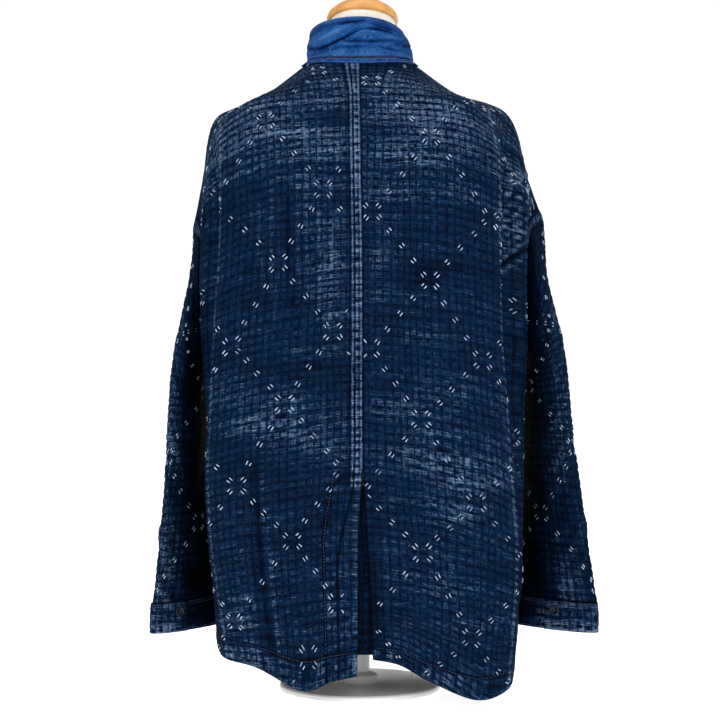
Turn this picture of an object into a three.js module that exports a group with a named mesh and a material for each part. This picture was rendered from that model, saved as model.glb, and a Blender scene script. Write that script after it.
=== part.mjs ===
// Sashiko shirt jacket worn by a limbless counter-top dress form.
// Millimetres, +Z up. The jacket's back faces -Y, the wearer's right hand is +X, and z = 0 is the
// underside of the stand's base plate, with the origin at the middle of that plate.
//
// Every cloth piece is a thin wall. A body panel is a net of named fold lines: table columns are the
// lines from the centre (back or front) out to the side seam and armhole, table rows are weft levels
// from the hem up to the shoulder seam, and smooth curves run through both.
import * as THREE from 'three';

// ---------------------------------------------------------------- driving sizes
const CLOTH = 1.6;            // wall of the double-gauze body and sleeves
const BAND_CLOTH = 2.4;       // wall of the folded collar and cuffs
const SEAM = 0.3;             // clearance between two pieces that are sewn together
const ARMHOLE_SEAM = 0.45;    // the same, where the seam turns a tight corner
const NECK_HALF_WIDTH = 65;
const NECK_BACK = 72;         // neckline from the shoulder seam to the centre back
const NECK_FRONT = 62;
const NECK_POINT_Z = 781;
const NECK_BACK_Z = 776;
const NECK_FRONT_Z = 738;
const FRONT_OVERLAP = 15;     // each front passes the centre line by this much
const FELL_WIDTH = 14;        // felled seam of the centre back
const FELL_RAISE = 0.9;
const VENT_TOP_Z = 262;
const COLLAR_BACK_TOP = 826;
const COLLAR_FRONT_TOP = 776;
const COLLAR_SLUMP_IN = 5;     // how far the top of the collar has sunk on the wearer's right
const COLLAR_SLUMP_DOWN = 7;
const BINDING_WIDTH = 9;
const CUFF_HEIGHT = 37;
const CUFF_LAP = 0.14;        // part of a turn that a cuff's ends overlap by
const FRONT_BUTTON_R = 7.5;
const CUFF_BUTTON_R = 6;
const BUTTON_THICK = 3.2;
const CAP_R = 44.5;
const NECK_TILT = THREE.MathUtils.degToRad(14);   // the form's neck leans forward
const FORM_NECK_TOP = new THREE.Vector3(3, -6, 829);
const POLE_R = 12;
const BASE_R = 100;
const BASE_THICK = 8;

// ---------------------------------------------------------------- colours
const INDIGO = { color: 0x14264a, roughness: 0.95, metalness: 0 };
const COLLAR_BLUE = { color: 0x26528c, roughness: 0.95, metalness: 0 };
const BUTTON_DARK = { color: 0x15161c, roughness: 0.35, metalness: 0 };
const LINEN = { color: 0xf1e7cf, roughness: 0.9, metalness: 0 };
const WOOD = { color: 0xd59a55, roughness: 0.5, metalness: 0 };
const WHITE_STEEL = { color: 0xf2f2f0, roughness: 0.4, metalness: 0.3 };

// ---------------------------------------------------------------- body panel tables
// Fold lines, from the centre outwards. n, m and b share out the flat back or chest; f is the edge
// where it turns to the side; w is the hollow behind that edge; g is the second fold that the
// dropped shoulder makes; d runs down into the hollow at the sleeve; e is side seam and armhole.
const LINES = ['c', 'n', 'm', 'b', 'f', 'w', 'g', 'd', 'e'];
const LINE_SHARE = { n: 0.2, m: 0.42, b: 0.76 };   // of the way from the centre to f
const DROP_SHARE = [0, 0, 0.01, 0.06, 0.2, 0.32, 0.47, 0.74, 1];
const UNDERARM_ROW = 6;
const TOP_ROW = 10;

// z: height at the centre; ze: height at the side seam or armhole; x0: centre edge
const ROW_KEYS = ['z', 'ze', 'x0', 'yc', 'yb', 'xf', 'yf', 'xw', 'yw', 'xg', 'yg', 'xd', 'yd', 'xe', 'ye'];
const BACK_RIGHT = [
  [57, 75, 15, -127, -131, 176, -112, 186, -75, 189, -48, 186, -22, 180, 0],
  [125, 118, 13, -127, -130, 184, -112, 191, -75, 190, -48, 184, -22, 176, 0],
  [205, 190, 8, -125, -128, 184, -112, 190, -78, 192, -50, 182, -22, 172, 0],
  [285, 262, 3.3, -123, -126, 180, -112, 184, -80, 194, -50, 180, -22, 168, 0],
  [365, 330, 3.3, -121, -124, 175, -113, 174, -80, 195, -50, 180, -22, 164, 0],
  [455, 395, 3.3, -120, -122, 169, -113, 166, -78, 202, -50, 190, -20, 163, 0],
  [545, 468, 3, -119, -120, 167, -112, 164, -76, 204, -52, 188, -24, 168, 0],
  [610, 520, 2, -116, -117, 167, -108, 165, -72, 204, -54, 196, -34, 199, -16],
  [670, 560, 1, -108, -108, 166, -95, 168, -66, 203, -50, 204, -36, 209, -22],
  [732, 573, 0, -88, -80, 158, -64, 174, -46, 198, -36, 207, -29, 213, -20],
];
const BACK_LEFT = [
  [38, 75, 3, -131, -122, 158, -106, 170, -75, 174, -46, 172, -22, 168, 0],
  [125, 118, 2.5, -130, -120, 169, -106, 176, -75, 178, -46, 174, -22, 166, 0],
  [205, 190, 2, -128, -119, 177, -107, 181, -77, 183, -47, 174, -22, 163, 0],
  [285, 262, -3, -125, -120, 181, -108, 183, -78, 185, -48, 172, -22, 160, 0],
  [365, 330, -3, -122, -121, 178, -110, 177, -78, 189, -48, 174, -22, 157, 0],
  [455, 395, -3, -120, -121, 173, -111, 168, -77, 194.5, -50, 182, -22, 156, 0],
  [540, 460, -2.7, -119, -120, 168, -110, 163, -75, 196.5, -52, 180, -24, 160, 0],
  [605, 512, -1.7, -116, -117, 166, -107, 162, -70, 194, -54, 187, -34, 189, -16],
  [668, 552, -0.7, -108, -108, 168, -94, 168, -64, 191, -50, 192, -36, 196, -22],
  [730, 563, 0.3, -88, -80, 170, -62, 178, -44, 187, -34, 194, -28, 200, -20],
];
// The fronts share ze, xe and ye with the backs that they are sewn to.
const FRONT_KEYS = ['z', 'yc', 'yb', 'xf', 'yf', 'xw', 'yw', 'xg', 'yg', 'xd', 'yd'];
const FRONT = [
  [48, 124, 119, 170, 96, 179, 68, 182, 44, 182, 20],
  [120, 123, 118, 174, 96, 180, 68, 181, 44, 179, 20],
  [200, 121, 116, 173, 96, 178, 68, 180, 44, 176, 20],
  [280, 118, 114, 170, 96, 173, 68, 180, 44, 173, 20],
  [360, 115, 112, 167, 95, 168, 68, 181, 44, 171, 20],
  [445, 112, 110, 164, 94, 163, 67, 183, 44, 172, 20],
  [530, 110, 109, 162, 92, 160, 64, 186, 45, 178, 22],
  [590, 107, 107, 160, 88, 160, 60, 192, 46, 193, 31],
  [645, 98, 98, 158, 78, 164, 54, 196, 42, 202, 31],
  [700, 84, 80, 156, 60, 172, 42, 194, 32, 205, 26],
];
// Heights of the hem along the fold lines, c to e.
const HEM = {
  back_right: [57, 50, 31, 10, 20, 44, 58, 68, 75],
  back_left: [38, 31, 20, 46, 54, 60, 66, 71, 75],
  front: [40, 38, 34, 36, 42, 52, 62, 70, 75],
};
// The shoulder seam from the neck point over the shoulder and down the dropped part: x, z.
const SHOULDER = {
  right: [[65, 781], [118, 744], [160, 730.5], [183, 718], [197, 692], [207, 645], [230, 581]],
  left: [[65, 781], [118, 741.5], [155, 725.5], [178, 714], [189, 690], [196, 640], [209, 570]],
};
// Around the armhole, from underarm to shoulder: across points from body to sleeve, out of the cloth.
const ARMHOLE_FRAME = [
  { across: [1, 0, 0], out: [0, 0, -1] },
  { across: [1, 0, 0], out: [0, 0.8, -0.6] },
  { across: [1, 0, 0], out: [0, 1, 0] },
  { across: [0.8, 0, -0.6], out: [0.5, 0.8, 0.3] },
  { across: [0.25, 0, -0.97], out: [0.97, 0, 0.25] },
];

// Sleeve rings below the armhole: height under the shoulder line and under the underarm line,
// outermost x, half width and half depth of the flattened tube, turn of its wide axis from -Y
// towards the outside in degrees, middle y, share of the ring's own shape against the armhole's.
const SLEEVE_KEYS = ['z', 'zu', 'xo', 'a', 'b', 'turn', 'yc', 'own'];
const SLEEVE_RIGHT = [
  [532, 450, 239, 72, 15, 8, 6, 0.35],
  [474, 428, 245, 78, 16, 9, 8, 0.8],
  [410, 392, 252, 78, 17, 13, 11, 1],
  [325, 325, 260, 75, 17, 18, 12, 1],
  [250, 250, 270, 71, 16, 24, 10, 1],
  [190, 190, 279, 68, 15.5, 31, 8, 1],
  [140, 140, 287, 66, 15, 39, 5, 1],
  [113, 113, 291, 64, 15, 45, 2, 1],
];
const SLEEVE_LEFT = [
  [522, 442, 220, 72, 15, 6, 6, 0.35],
  [466, 420, 225, 78, 16, 6, 8, 0.8],
  [404, 388, 231, 78, 17, 8, 11, 1],
  [325, 325, 237, 75, 17, 12, 12, 1],
  [250, 250, 241, 71, 16, 17, 10, 1],
  [190, 190, 246, 68, 15.5, 23, 8, 1],
  [140, 140, 251, 65, 15, 30, 5, 1],
  [113, 113, 254, 62, 15, 34, 2, 1],
];
const SLEEVE_ROW_STEPS = 2;
const SLEEVE_AROUND = 28;

// Dress form rings: z, half width right and left, half depth front and back, middle y, tilt, and the
// power of the outline: below 1 is boxy, above 1 is pinched to a ridge at both sides.
const FORM_KEYS = ['z', 'ar', 'al', 'front', 'back', 'y', 'tilt', 'power'];
const FORM_RINGS = [
  [230, 118, 118, 84, 86, 0, 0, 0.9],
  [238, 130, 130, 92, 95, 0, 0, 0.9],
  [300, 138, 138, 97, 101, 0, 0, 0.9],
  [370, 132, 130, 91, 96, 0, 0, 0.9],
  [450, 119, 117, 83, 88, 0, 0, 0.9],
  [530, 130, 128, 91, 96, 0, 0, 0.9],
  [600, 146, 143, 90, 100, 0, 0, 0.9],
  [650, 161, 156, 78, 90, 0, 0, 0.95],
  [685, 178, 170, 58, 76, 0, 0, 1],
  [700, 184, 174, 50, 64, 0, 0, 1.15],
  [711, 179, 166, 45, 60, 0, 0, 1.35],
  [719, 171, 154, 43, 58, -1, 0, 1.5],
  [728, 155.5, 138, 43, 56, -2, 0, 1.6],
  [733, 136.5, 124, 43, 56, -4, 0, 1.6],
  [741, 110, 106, 45, 54, -8, 0, 1.4],
  [750, 86, 82, 45, 50, -13, 0, 1.3],
  [764, 60, 58, 43, 46, -19, 0, 1.1],
  [780, 46, 43, 41, 42, -18, -0.08, 1],
  [802, 44, 38, 41, 41, -13, -0.18, 1],
  [829, 44, 38, 41, 41, -6, -0.249, 1],
];
const FORM_AROUND = 32;

// ---------------------------------------------------------------- curves through tables
const rowsFrom = (keys, table) => table.map(
  (row) => Object.fromEntries(keys.map((key, k) => [key, row[k]])),
);

// Catmull-Rom value at place t of a list of vectors, with straight ends.
function along(points, t) {
  const last = points.length - 1;
  const k = Math.min(Math.max(Math.floor(t), 0), last - 1);
  const s = t - k;
  const p1 = points[k];
  const p2 = points[k + 1];
  const p0 = points[k - 1] ?? p1.clone().multiplyScalar(2).sub(p2);
  const p3 = points[k + 2] ?? p2.clone().multiplyScalar(2).sub(p1);
  const mix = (a, b, c, d) => 0.5 * (2 * b + (c - a) * s + (2 * a - 5 * b + 4 * c - d) * s * s
    + (3 * b - a - 3 * c + d) * s * s * s);
  return new THREE.Vector3(
    mix(p0.x, p1.x, p2.x, p3.x),
    mix(p0.y, p1.y, p2.y, p3.y),
    mix(p0.z, p1.z, p2.z, p3.z),
  );
}

const smooth = (low, high, t) => THREE.MathUtils.smoothstep(t, low, high);

// ---------------------------------------------------------------- walls
// A wall between an outer and an inner net. Both take (i, j) and give a Vector3; the net is closed
// on itself in i when ring is true. Faces are turned outwards by the sign of the volume.
function wallGeometry(outer, inner, iStops, jStops, ring = false) {
  const columns = iStops.length;
  const rows = jStops.length;
  const points = [];
  for (const net of [outer, inner]) {
    for (const j of jStops) for (const i of iStops) points.push(net(i, j));
  }
  const at = (layer, i, j) => layer * columns * rows + j * columns + (i % columns);
  const faces = [];
  const quad = (a, b, c, d) => faces.push([a, b, c], [a, c, d]);
  const spans = ring ? columns : columns - 1;
  for (let j = 0; j < rows - 1; j += 1) {
    for (let i = 0; i < spans; i += 1) {
      quad(at(0, i, j), at(0, i + 1, j), at(0, i + 1, j + 1), at(0, i, j + 1));
      quad(at(1, i, j + 1), at(1, i + 1, j + 1), at(1, i + 1, j), at(1, i, j));
    }
    if (!ring) {
      quad(at(1, 0, j), at(0, 0, j), at(0, 0, j + 1), at(1, 0, j + 1));
      quad(at(0, spans, j), at(1, spans, j), at(1, spans, j + 1), at(0, spans, j + 1));
    }
  }
  for (let i = 0; i < spans; i += 1) {
    quad(at(1, i, 0), at(1, i + 1, 0), at(0, i + 1, 0), at(0, i, 0));
    quad(at(0, i, rows - 1), at(0, i + 1, rows - 1), at(1, i + 1, rows - 1), at(1, i, rows - 1));
  }
  return bodyGeometry(points, faces);
}

function bodyGeometry(points, faces) {
  let volume = 0;
  const normal = new THREE.Vector3();
  for (const [a, b, c] of faces) volume += points[a].dot(normal.crossVectors(points[b], points[c]));
  const turned = volume > 0 ? faces : faces.map(([a, b, c]) => [a, c, b]);
  const geometry = new THREE.BufferGeometry();
  geometry.setAttribute('position', new THREE.Float32BufferAttribute(
    points.flatMap((p) => [p.x, p.y, p.z]),
    3,
  ));
  geometry.setIndex(turned.flat());
  geometry.computeVertexNormals();
  return geometry;
}

// Unit normal of a net by small steps, turned to point away from the middle line of the garment.
function netNormal(net, i, j, iMax, jMax, middle) {
  const step = 0.02;
  const di = net(Math.min(i + step, iMax), j).sub(net(Math.max(i - step, 0), j));
  const dj = net(i, Math.min(j + step, jMax)).sub(net(i, Math.max(j - step, 0)));
  const normal = di.cross(dj).normalize();
  return middle < 0 ? normal.negate() : normal;
}

// ---------------------------------------------------------------- body panels
// A panel holds its side (+1 right, -1 left), its face (-1 back, +1 front) and its rows of points.
function makePanel(side, face, rows, hem) {
  const sideName = side > 0 ? 'right' : 'left';
  const shoulder = SHOULDER[sideName].map(([x, z]) => new THREE.Vector3(side * x, 0, z));
  const nets = rows.map((row, r) => LINES.map((line, k) => {
    const share = LINE_SHARE[line];
    const x = share === undefined ? row[line === 'c' ? 'x0' : `x${line}`]
      : row.x0 + share * (row.xf - row.x0);
    const flatY = { c: row.yc, n: row.yc, m: (row.yc + row.yb) / 2, b: row.yb };
    const y = flatY[line] ?? row[`y${line}`];
    const z = r === 0 ? hem[k] : row.z + (row.ze - row.z) * DROP_SHARE[k];
    return new THREE.Vector3(side * x, y, z);
  }));
  return { side, face, nets, shoulder };
}

// The neckline is half an ellipse on each face: turn 0 is the centre, a quarter turn the neck point.
function necklinePoint(side, face, turn) {
  const depth = face < 0 ? NECK_BACK : NECK_FRONT;
  const low = face < 0 ? NECK_BACK_Z : NECK_FRONT_Z;
  const rise = Math.sin(turn) ** 2;
  return new THREE.Vector3(
    side * NECK_HALF_WIDTH * Math.sin(turn),
    face * depth * Math.cos(turn),
    low + (NECK_POINT_Z - low) * rise,
  );
}

const centreTurn = (panel) => {
  if (panel.face > 0) return -Math.asin(FRONT_OVERLAP / NECK_HALF_WIDTH);
  return panel.side > 0 ? -Math.asin(0.7 / NECK_HALF_WIDTH) : Math.asin(1 / NECK_HALF_WIDTH);
};

// Top edge of a panel: neckline up to the neck point at line 2, then the shoulder seam.
function topEdge(panel, i) {
  if (i >= 2) return along(panel.shoulder, i - 2);
  const start = centreTurn(panel);
  return necklinePoint(panel.side, panel.face, start + (Math.PI / 2 - start) * (i / 2));
}

const isEdge = (i) => i === LINES.length - 1;

function panelPoint(panel, i, j) {
  const ladder = panel.nets.map((row) => along(row, i));
  ladder.push(topEdge(panel, i));
  const point = along(ladder, j);
  if (isEdge(i) && j < UNDERARM_ROW) point.y = 0;
  if (panel.face > 0 && panel.side > 0) point.y -= 3.2 * (1 - smooth(0.7, 1.6, i));
  return point;
}

function panelNormal(panel, i, j) {
  const net = (a, b) => panelPoint(panel, a, b);
  return netNormal(net, i, j, LINES.length - 1, TOP_ROW, panel.side * -panel.face);
}

// Direction data of the armhole at row j of a panel: across (body to sleeve) and out of the cloth.
function armholeFrame(panel, j) {
  const vectors = (key) => ARMHOLE_FRAME.map(({ [key]: [x, y, z] }) => new THREE.Vector3(
    x * panel.side,
    y * panel.face,
    z,
  ));
  return {
    across: along(vectors('across'), j - UNDERARM_ROW).normalize(),
    out: along(vectors('out'), j - UNDERARM_ROW).normalize(),
  };
}

// Outer net of a panel, held back from its seams.
function panelOuter(panel, i, j) {
  const point = panelPoint(panel, i, j);
  if (panel.face < 0 && panel.side < 0) {
    const fromEdge = Math.abs(point.x - panelPoint(panel, 0, j).x);
    const length = smooth(VENT_TOP_Z - 20, VENT_TOP_Z, point.z) * (1 - smooth(752, 764, point.z));
    const raise = smooth(0, 1.5, fromEdge) * (1 - smooth(FELL_WIDTH - 1.5, FELL_WIDTH, fromEdge));
    point.y -= FELL_RAISE * raise * length;
  }
  if (isEdge(i) && j >= UNDERARM_ROW) {
    return point.addScaledVector(armholeFrame(panel, j).across, -ARMHOLE_SEAM / 2)
      .add(new THREE.Vector3(0, panel.face * SEAM / 2, 0));
  }
  if (isEdge(i) || (j === TOP_ROW && i >= 2)) point.y += panel.face * SEAM / 2;
  return point;
}

// Inner net: the outer one moved in by the cloth, straight along each seam so that walls never cross.
function panelInner(panel, i, j) {
  const plain = panelPoint(panel, i, j);
  const inward = panelNormal(panel, i, j).negate();
  if (isEdge(i) && j >= UNDERARM_ROW) {
    const { across, out } = armholeFrame(panel, j);
    return panelOuter(panel, i, j)
      .addScaledVector(out.clone().addScaledVector(across, 0.6).normalize(), -CLOTH)
      .setY(panelOuter(panel, i, j).y - out.y * CLOTH);
  }
  if (isEdge(i) || (j === TOP_ROW && i >= 2)) {
    inward.y = 0;
    inward.normalize();
    return panelOuter(panel, i, j).addScaledVector(inward, CLOTH);
  }
  if (i === 0) {
    inward.x = 0;
    inward.normalize();
  }
  return plain.addScaledVector(inward, CLOTH);
}

function steps(spans) {
  const stops = spans.flatMap((count, k) => Array.from({ length: count }, (_, n) => k + n / count));
  return [...stops, spans.length];
}

const BACK_COLUMNS = steps([3, 2, 2, 3, 3, 3, 2, 2]);
const FRONT_COLUMNS = steps([3, 3, 2, 2, 2, 2, 2, 2]);
const PANEL_ROWS = steps([2, 1, 2, 1, 2, 2, 2, 2, 2, 3]);

// The felled seam needs net lines at its own edges.
function fellColumns(panel) {
  const width = Math.abs(panelPoint(panel, 1, 5).x - panelPoint(panel, 0, 5).x);
  const own = [0, 1.5, FELL_WIDTH - 1.5, FELL_WIDTH].map((mm) => mm / width);
  return [...own, 0.7, ...BACK_COLUMNS.filter((i) => i >= 1)];
}

// ---------------------------------------------------------------- sleeves
// Turn t = 0 is the shoulder line, 0.25 the back, 0.5 the underarm line and 0.75 the front.
function sleeveRing(side, row, t) {
  const turn = THREE.MathUtils.degToRad(row.turn);
  const reach = Math.hypot(row.a * Math.sin(turn), row.b * Math.cos(turn));
  const angle = Math.PI / 2 - 2 * Math.PI * t;
  const wide = row.a * Math.cos(angle);
  const deep = row.b * Math.sin(angle);
  return new THREE.Vector3(
    side * (row.xo - reach + wide * Math.sin(turn) + deep * Math.cos(turn)),
    row.yc - wide * Math.cos(turn) + deep * Math.sin(turn),
    row.z + ((row.zu - row.z) * (1 - Math.cos(2 * Math.PI * t))) / 2,
  );
}

function armholePoint(back, front, t) {
  const panel = t <= 0.5 ? back : front;
  const fromTop = t <= 0.5 ? t / 0.5 : (1 - t) / 0.5;
  const j = TOP_ROW - (TOP_ROW - UNDERARM_ROW) * fromTop;
  const frame = armholeFrame(panel, j);
  return { point: panelPoint(panel, LINES.length - 1, j), ...frame };
}

function makeSleeve(side, back, front, rows) {
  const net = (t, j) => {
    const turn = ((t % 1) + 1) % 1;
    const root = armholePoint(back, front, turn);
    root.point.addScaledVector(root.across, ARMHOLE_SEAM / 2);
    const ladder = [root.point];
    rows.forEach((row) => {
      const ring = sleeveRing(side, row, turn);
      ladder.push(root.point.clone().lerp(ring, row.own).setZ(ring.z));
    });
    return along(ladder, j);
  };
  const normalAt = (t, j) => {
    const step = 0.01;
    const around = net(t + step, j).sub(net(t - step, j));
    const down = net(t, Math.min(j + step, rows.length)).sub(net(t, Math.max(j - step, 0)));
    return around.cross(down).normalize().multiplyScalar(side);
  };
  return { side, rows, net, normalAt, back, front };
}

function sleeveInner(sleeve, t, j) {
  if (j === 0) {
    const { across, out } = armholePoint(sleeve.back, sleeve.front, t);
    return sleeve.net(t, 0).addScaledVector(out.clone().addScaledVector(across, -0.6).normalize(), -CLOTH);
  }
  const outward = sleeve.normalAt(t, j);
  if (j === sleeve.rows.length) outward.setZ(0).normalize();
  return sleeve.net(t, j).addScaledVector(outward, -CLOTH);
}

function sleeveGeometry(sleeve) {
  const around = Array.from({ length: SLEEVE_AROUND }, (_, k) => k / SLEEVE_AROUND);
  const down = steps(sleeve.rows.map(() => SLEEVE_ROW_STEPS));
  return wallGeometry(sleeve.net, (t, j) => sleeveInner(sleeve, t, j), around, down, true);
}

// ---------------------------------------------------------------- cuffs
// A cuff is a band that goes once round and laps over its own start, on the sleeve's last ring.
// The lap ends on the side that shows from behind, and the button sits close to its end.
const CUFF_START = { right: 0.365, left: 0.31 };
const CUFF_BUTTON_IN = 0.04;
const CUFF_BUTTON_LEVEL = 0.32;
const CUFF_GROW = 0.8;     // the band stands this much outside the sleeve's end ring

function cuffNet(sleeve, layer) {
  const last = sleeve.rows[sleeve.rows.length - 1];
  return (s, j) => {
    const lap = 3.4 * smooth(0.84, 0.98, s);
    const row = {
      ...last,
      z: last.z - SEAM - CUFF_HEIGHT * j,
      zu: last.z - SEAM - CUFF_HEIGHT * j,
      xo: last.xo + 4 * j - 3 * j * j,
      turn: last.turn + 4 * j,
    };
    const t = CUFF_START[sleeve.side > 0 ? 'right' : 'left'] + s;
    const point = sleeveRing(sleeve.side, row, t);
    const step = 0.004;
    const tangent = sleeveRing(sleeve.side, row, t + step).sub(sleeveRing(sleeve.side, row, t - step));
    const outward = new THREE.Vector3(tangent.y, -tangent.x, 0).normalize().multiplyScalar(-sleeve.side);
    return point.addScaledVector(outward, CUFF_GROW + lap - layer * BAND_CLOTH);
  };
}

function cuffGeometry(sleeve) {
  const count = 34;
  const around = Array.from({ length: count + 1 }, (_, k) => (k / count) * (1 + CUFF_LAP));
  return wallGeometry(cuffNet(sleeve, 0), cuffNet(sleeve, 1), around, [0, 0.34, 0.67, 1]);
}

// ---------------------------------------------------------------- collar and neck binding
// Turn runs from the centre front (0) by the wearer's right (a quarter) to the centre back (half).
function neckRound(turn) {
  return necklinePoint(1, Math.cos(turn) > 0 ? 1 : -1, Math.asin(Math.sin(turn)));
}

function collarPoint(turn, j, layer) {
  const base = neckRound(turn);
  const backness = (1 - Math.cos(turn)) / 2;
  const top = COLLAR_FRONT_TOP + (COLLAR_BACK_TOP - COLLAR_FRONT_TOP) * backness ** 0.35;
  const out = new THREE.Vector3(base.x, base.y, 0).normalize();
  const slump = Math.max(Math.sin(turn), 0) ** 2 * j * j;
  const lean = -2 - 3 * j + 2 * Math.sin(Math.PI * j) - COLLAR_SLUMP_IN * slump;
  const point = base.clone().addScaledVector(out, lean - layer * BAND_CLOTH + BAND_CLOTH / 2 + 1.4);
  const foot = base.z + 0.8 + (1 - backness) ** 2;
  point.z = foot + (top - foot) * j - COLLAR_SLUMP_DOWN * slump;
  return point;
}

function collarGeometry() {
  const gap = 0.03;
  const count = 44;
  const around = Array.from({ length: count + 1 }, (_, k) => gap + (k / count) * (2 * Math.PI - 2 * gap));
  const net = (layer) => (turn, j) => collarPoint(turn, j, layer);
  return wallGeometry(net(0), net(1), around, [0, 0.33, 0.67, 1]);
}

// A point on the cloth under the binding: place runs 0 to 4 along the neckline, over the left front,
// left back, right back and right front, and the strip goes `wide` out from the neckline, down the
// panel or, at a neck point, along the shoulder seam.
const BINDING_ORDER = ['front_left', 'back_left', 'back_right', 'front_right'];
const BINDING_END = 3.79;

function bindingPoint(panels, place, wide) {
  const part = Math.min(Math.floor(place), 3);
  const local = place - part;
  const i = part % 2 === 0 ? 2 * local : 2 * (1 - local);
  const panel = panels[BINDING_ORDER[part]];
  const atPoint = smooth(1.35, 2, i);
  const seamLength = panel.shoulder[0].distanceTo(panel.shoulder[1]);
  const down = wide * Math.sqrt(1 - atPoint * atPoint);
  const step = 0.02;
  let j = TOP_ROW;
  let run = 0;
  let last = panelPoint(panel, i, j);
  while (run < down && j > TOP_ROW - 0.6) {
    const next = panelPoint(panel, i, j - step);
    const length = next.distanceTo(last);
    const share = Math.min((down - run) / length, 1);
    run += length * share;
    j -= step * share;
    last = next;
  }
  return panelPoint(panel, i + (wide / seamLength) * atPoint, j);
}

function bindingGeometry(panels) {
  const stops = [0.3, 0.6, 1];
  const count = 44;
  const places = Array.from({ length: count + 1 }, (_, k) => (k / count) * BINDING_END);
  const rays = places.map((place) => stops.map((share) => bindingPoint(panels, place, share * BINDING_WIDTH)));
  const net = (lift) => (k, s) => {
    const round = rays[Math.min(k + 1, count)][s].clone().sub(rays[Math.max(k - 1, 0)][s]);
    const outward = rays[k][2].clone().sub(rays[k][0]);
    const normal = round.cross(outward).normalize();
    if (normal.z < 0) normal.negate();
    const atNeckPoint = Math.exp(-(((places[k] % 2) - 1) ** 2) / 0.02);
    const atFront = Math.exp(-((places[k] / 0.5) ** 2)) + Math.exp(-(((4 - places[k]) / 0.6) ** 2));
    return rays[k][s].clone().addScaledVector(normal, lift + 2 * atNeckPoint + 1.8 * atFront);
  };
  const columns = rays.map((_, k) => k);
  return wallGeometry(net(2.4), net(1.2), columns, stops.map((_, s) => s));
}

// ---------------------------------------------------------------- vent underlap
// The right back's extension behind the vent, a strip that lies inside both edges.
const UNDERLAP_HALF = 24;
const UNDERLAP_BOTTOM = 62;

function underlapGeometry(left, right) {
  const net = (depth) => (x, z) => {
    const behind = (panel) => {
      const row = (z - 57) / 77;
      return panelPoint(panel, 0.3, Math.max(row, 0)).y;
    };
    const y = Math.max(behind(left), behind(right)) + CLOTH + 1.1 + depth;
    return new THREE.Vector3(x, y, z);
  };
  const across = [-UNDERLAP_HALF, 0, UNDERLAP_HALF];
  const up = [0, 0.25, 0.5, 0.75, 1].map((k) => UNDERLAP_BOTTOM + k * (VENT_TOP_Z - UNDERLAP_BOTTOM));
  return wallGeometry(net(0), net(CLOTH), across, up);
}

// ---------------------------------------------------------------- buttons
function buttonGeometry(radius) {
  const rim = radius * 0.72;
  const profile = [
    [0, 0],
    [radius * 0.86, 0],
    [radius, BUTTON_THICK * 0.45],
    [radius * 0.93, BUTTON_THICK],
    [rim, BUTTON_THICK * 0.9],
    [rim * 0.85, BUTTON_THICK * 0.6],
    [0, BUTTON_THICK * 0.6],
  ].map(([r, h]) => new THREE.Vector2(r, h));
  return new THREE.LatheGeometry(profile, 20);
}

// A button lying on a cloth point, its axis along the cloth's normal.
function placeButton(radius, point, normal) {
  const geometry = buttonGeometry(radius);
  const stand = new THREE.Quaternion().setFromUnitVectors(new THREE.Vector3(0, 1, 0), normal);
  geometry.applyQuaternion(stand);
  const seat = point.clone().addScaledVector(normal, SEAM);
  geometry.translate(seat.x, seat.y, seat.z);
  return geometry;
}

// ---------------------------------------------------------------- dress form and stand
function formRingPoint(row, turn) {
  const cos = Math.cos(turn);
  const sin = Math.sin(turn);
  const half = cos > 0 ? row.ar : row.al;
  const deep = sin > 0 ? row.front : row.back;
  const x = Math.sign(cos) * Math.abs(cos) ** row.power * half;
  const y = row.y + Math.sign(sin) * Math.abs(sin) ** row.power * deep;
  return new THREE.Vector3(x, y, row.z + (y - row.y) * row.tilt);
}

function formGeometry() {
  const rings = rowsFrom(FORM_KEYS, FORM_RINGS);
  const points = [];
  const faces = [];
  rings.forEach((row) => {
    for (let k = 0; k < FORM_AROUND; k += 1) points.push(formRingPoint(row, (2 * Math.PI * k) / FORM_AROUND));
  });
  for (let r = 0; r < rings.length - 1; r += 1) {
    for (let k = 0; k < FORM_AROUND; k += 1) {
      const next = (k + 1) % FORM_AROUND;
      const low = r * FORM_AROUND;
      const high = low + FORM_AROUND;
      faces.push([low + k, low + next, high + next], [low + k, high + next, high + k]);
    }
  }
  const first = rings[0];
  const last = rings[rings.length - 1];
  const bottom = points.push(new THREE.Vector3(0, first.y, first.z)) - 1;
  const top = points.push(new THREE.Vector3(3, last.y, last.z)) - 1;
  const topRing = (rings.length - 1) * FORM_AROUND;
  for (let k = 0; k < FORM_AROUND; k += 1) {
    const next = (k + 1) % FORM_AROUND;
    faces.push([bottom, next, k], [top, topRing + k, topRing + next]);
  }
  return bodyGeometry(points, faces);
}

function capGeometry() {
  const profile = [[0, 0], [42, 0], [CAP_R, 2], [CAP_R, 7], [42, 12], [34, 19], [20, 25], [0, 27.5]];
  const geometry = new THREE.LatheGeometry(profile.map(([r, h]) => new THREE.Vector2(r, h)), 40);
  geometry.rotateX(Math.PI / 2 - NECK_TILT);
  const axis = new THREE.Vector3(0, Math.sin(NECK_TILT), Math.cos(NECK_TILT));
  const seat = FORM_NECK_TOP.clone().addScaledVector(axis, SEAM);
  geometry.translate(seat.x, seat.y, seat.z);
  return geometry;
}

function standGeometry() {
  const top = FORM_RINGS[0][0] - SEAM;
  const profile = [
    [0, 0], [BASE_R - 1.5, 0], [BASE_R, 1.5], [BASE_R, BASE_THICK - 2], [BASE_R - 2, BASE_THICK],
    [POLE_R + 10, BASE_THICK], [POLE_R + 10, BASE_THICK + 10], [POLE_R, BASE_THICK + 14],
    [POLE_R, top - 8], [40, top - 5], [40, top], [0, top],
  ];
  const geometry = new THREE.LatheGeometry(profile.map(([r, h]) => new THREE.Vector2(r, h)), 40);
  geometry.rotateX(Math.PI / 2);
  return geometry;
}

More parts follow.
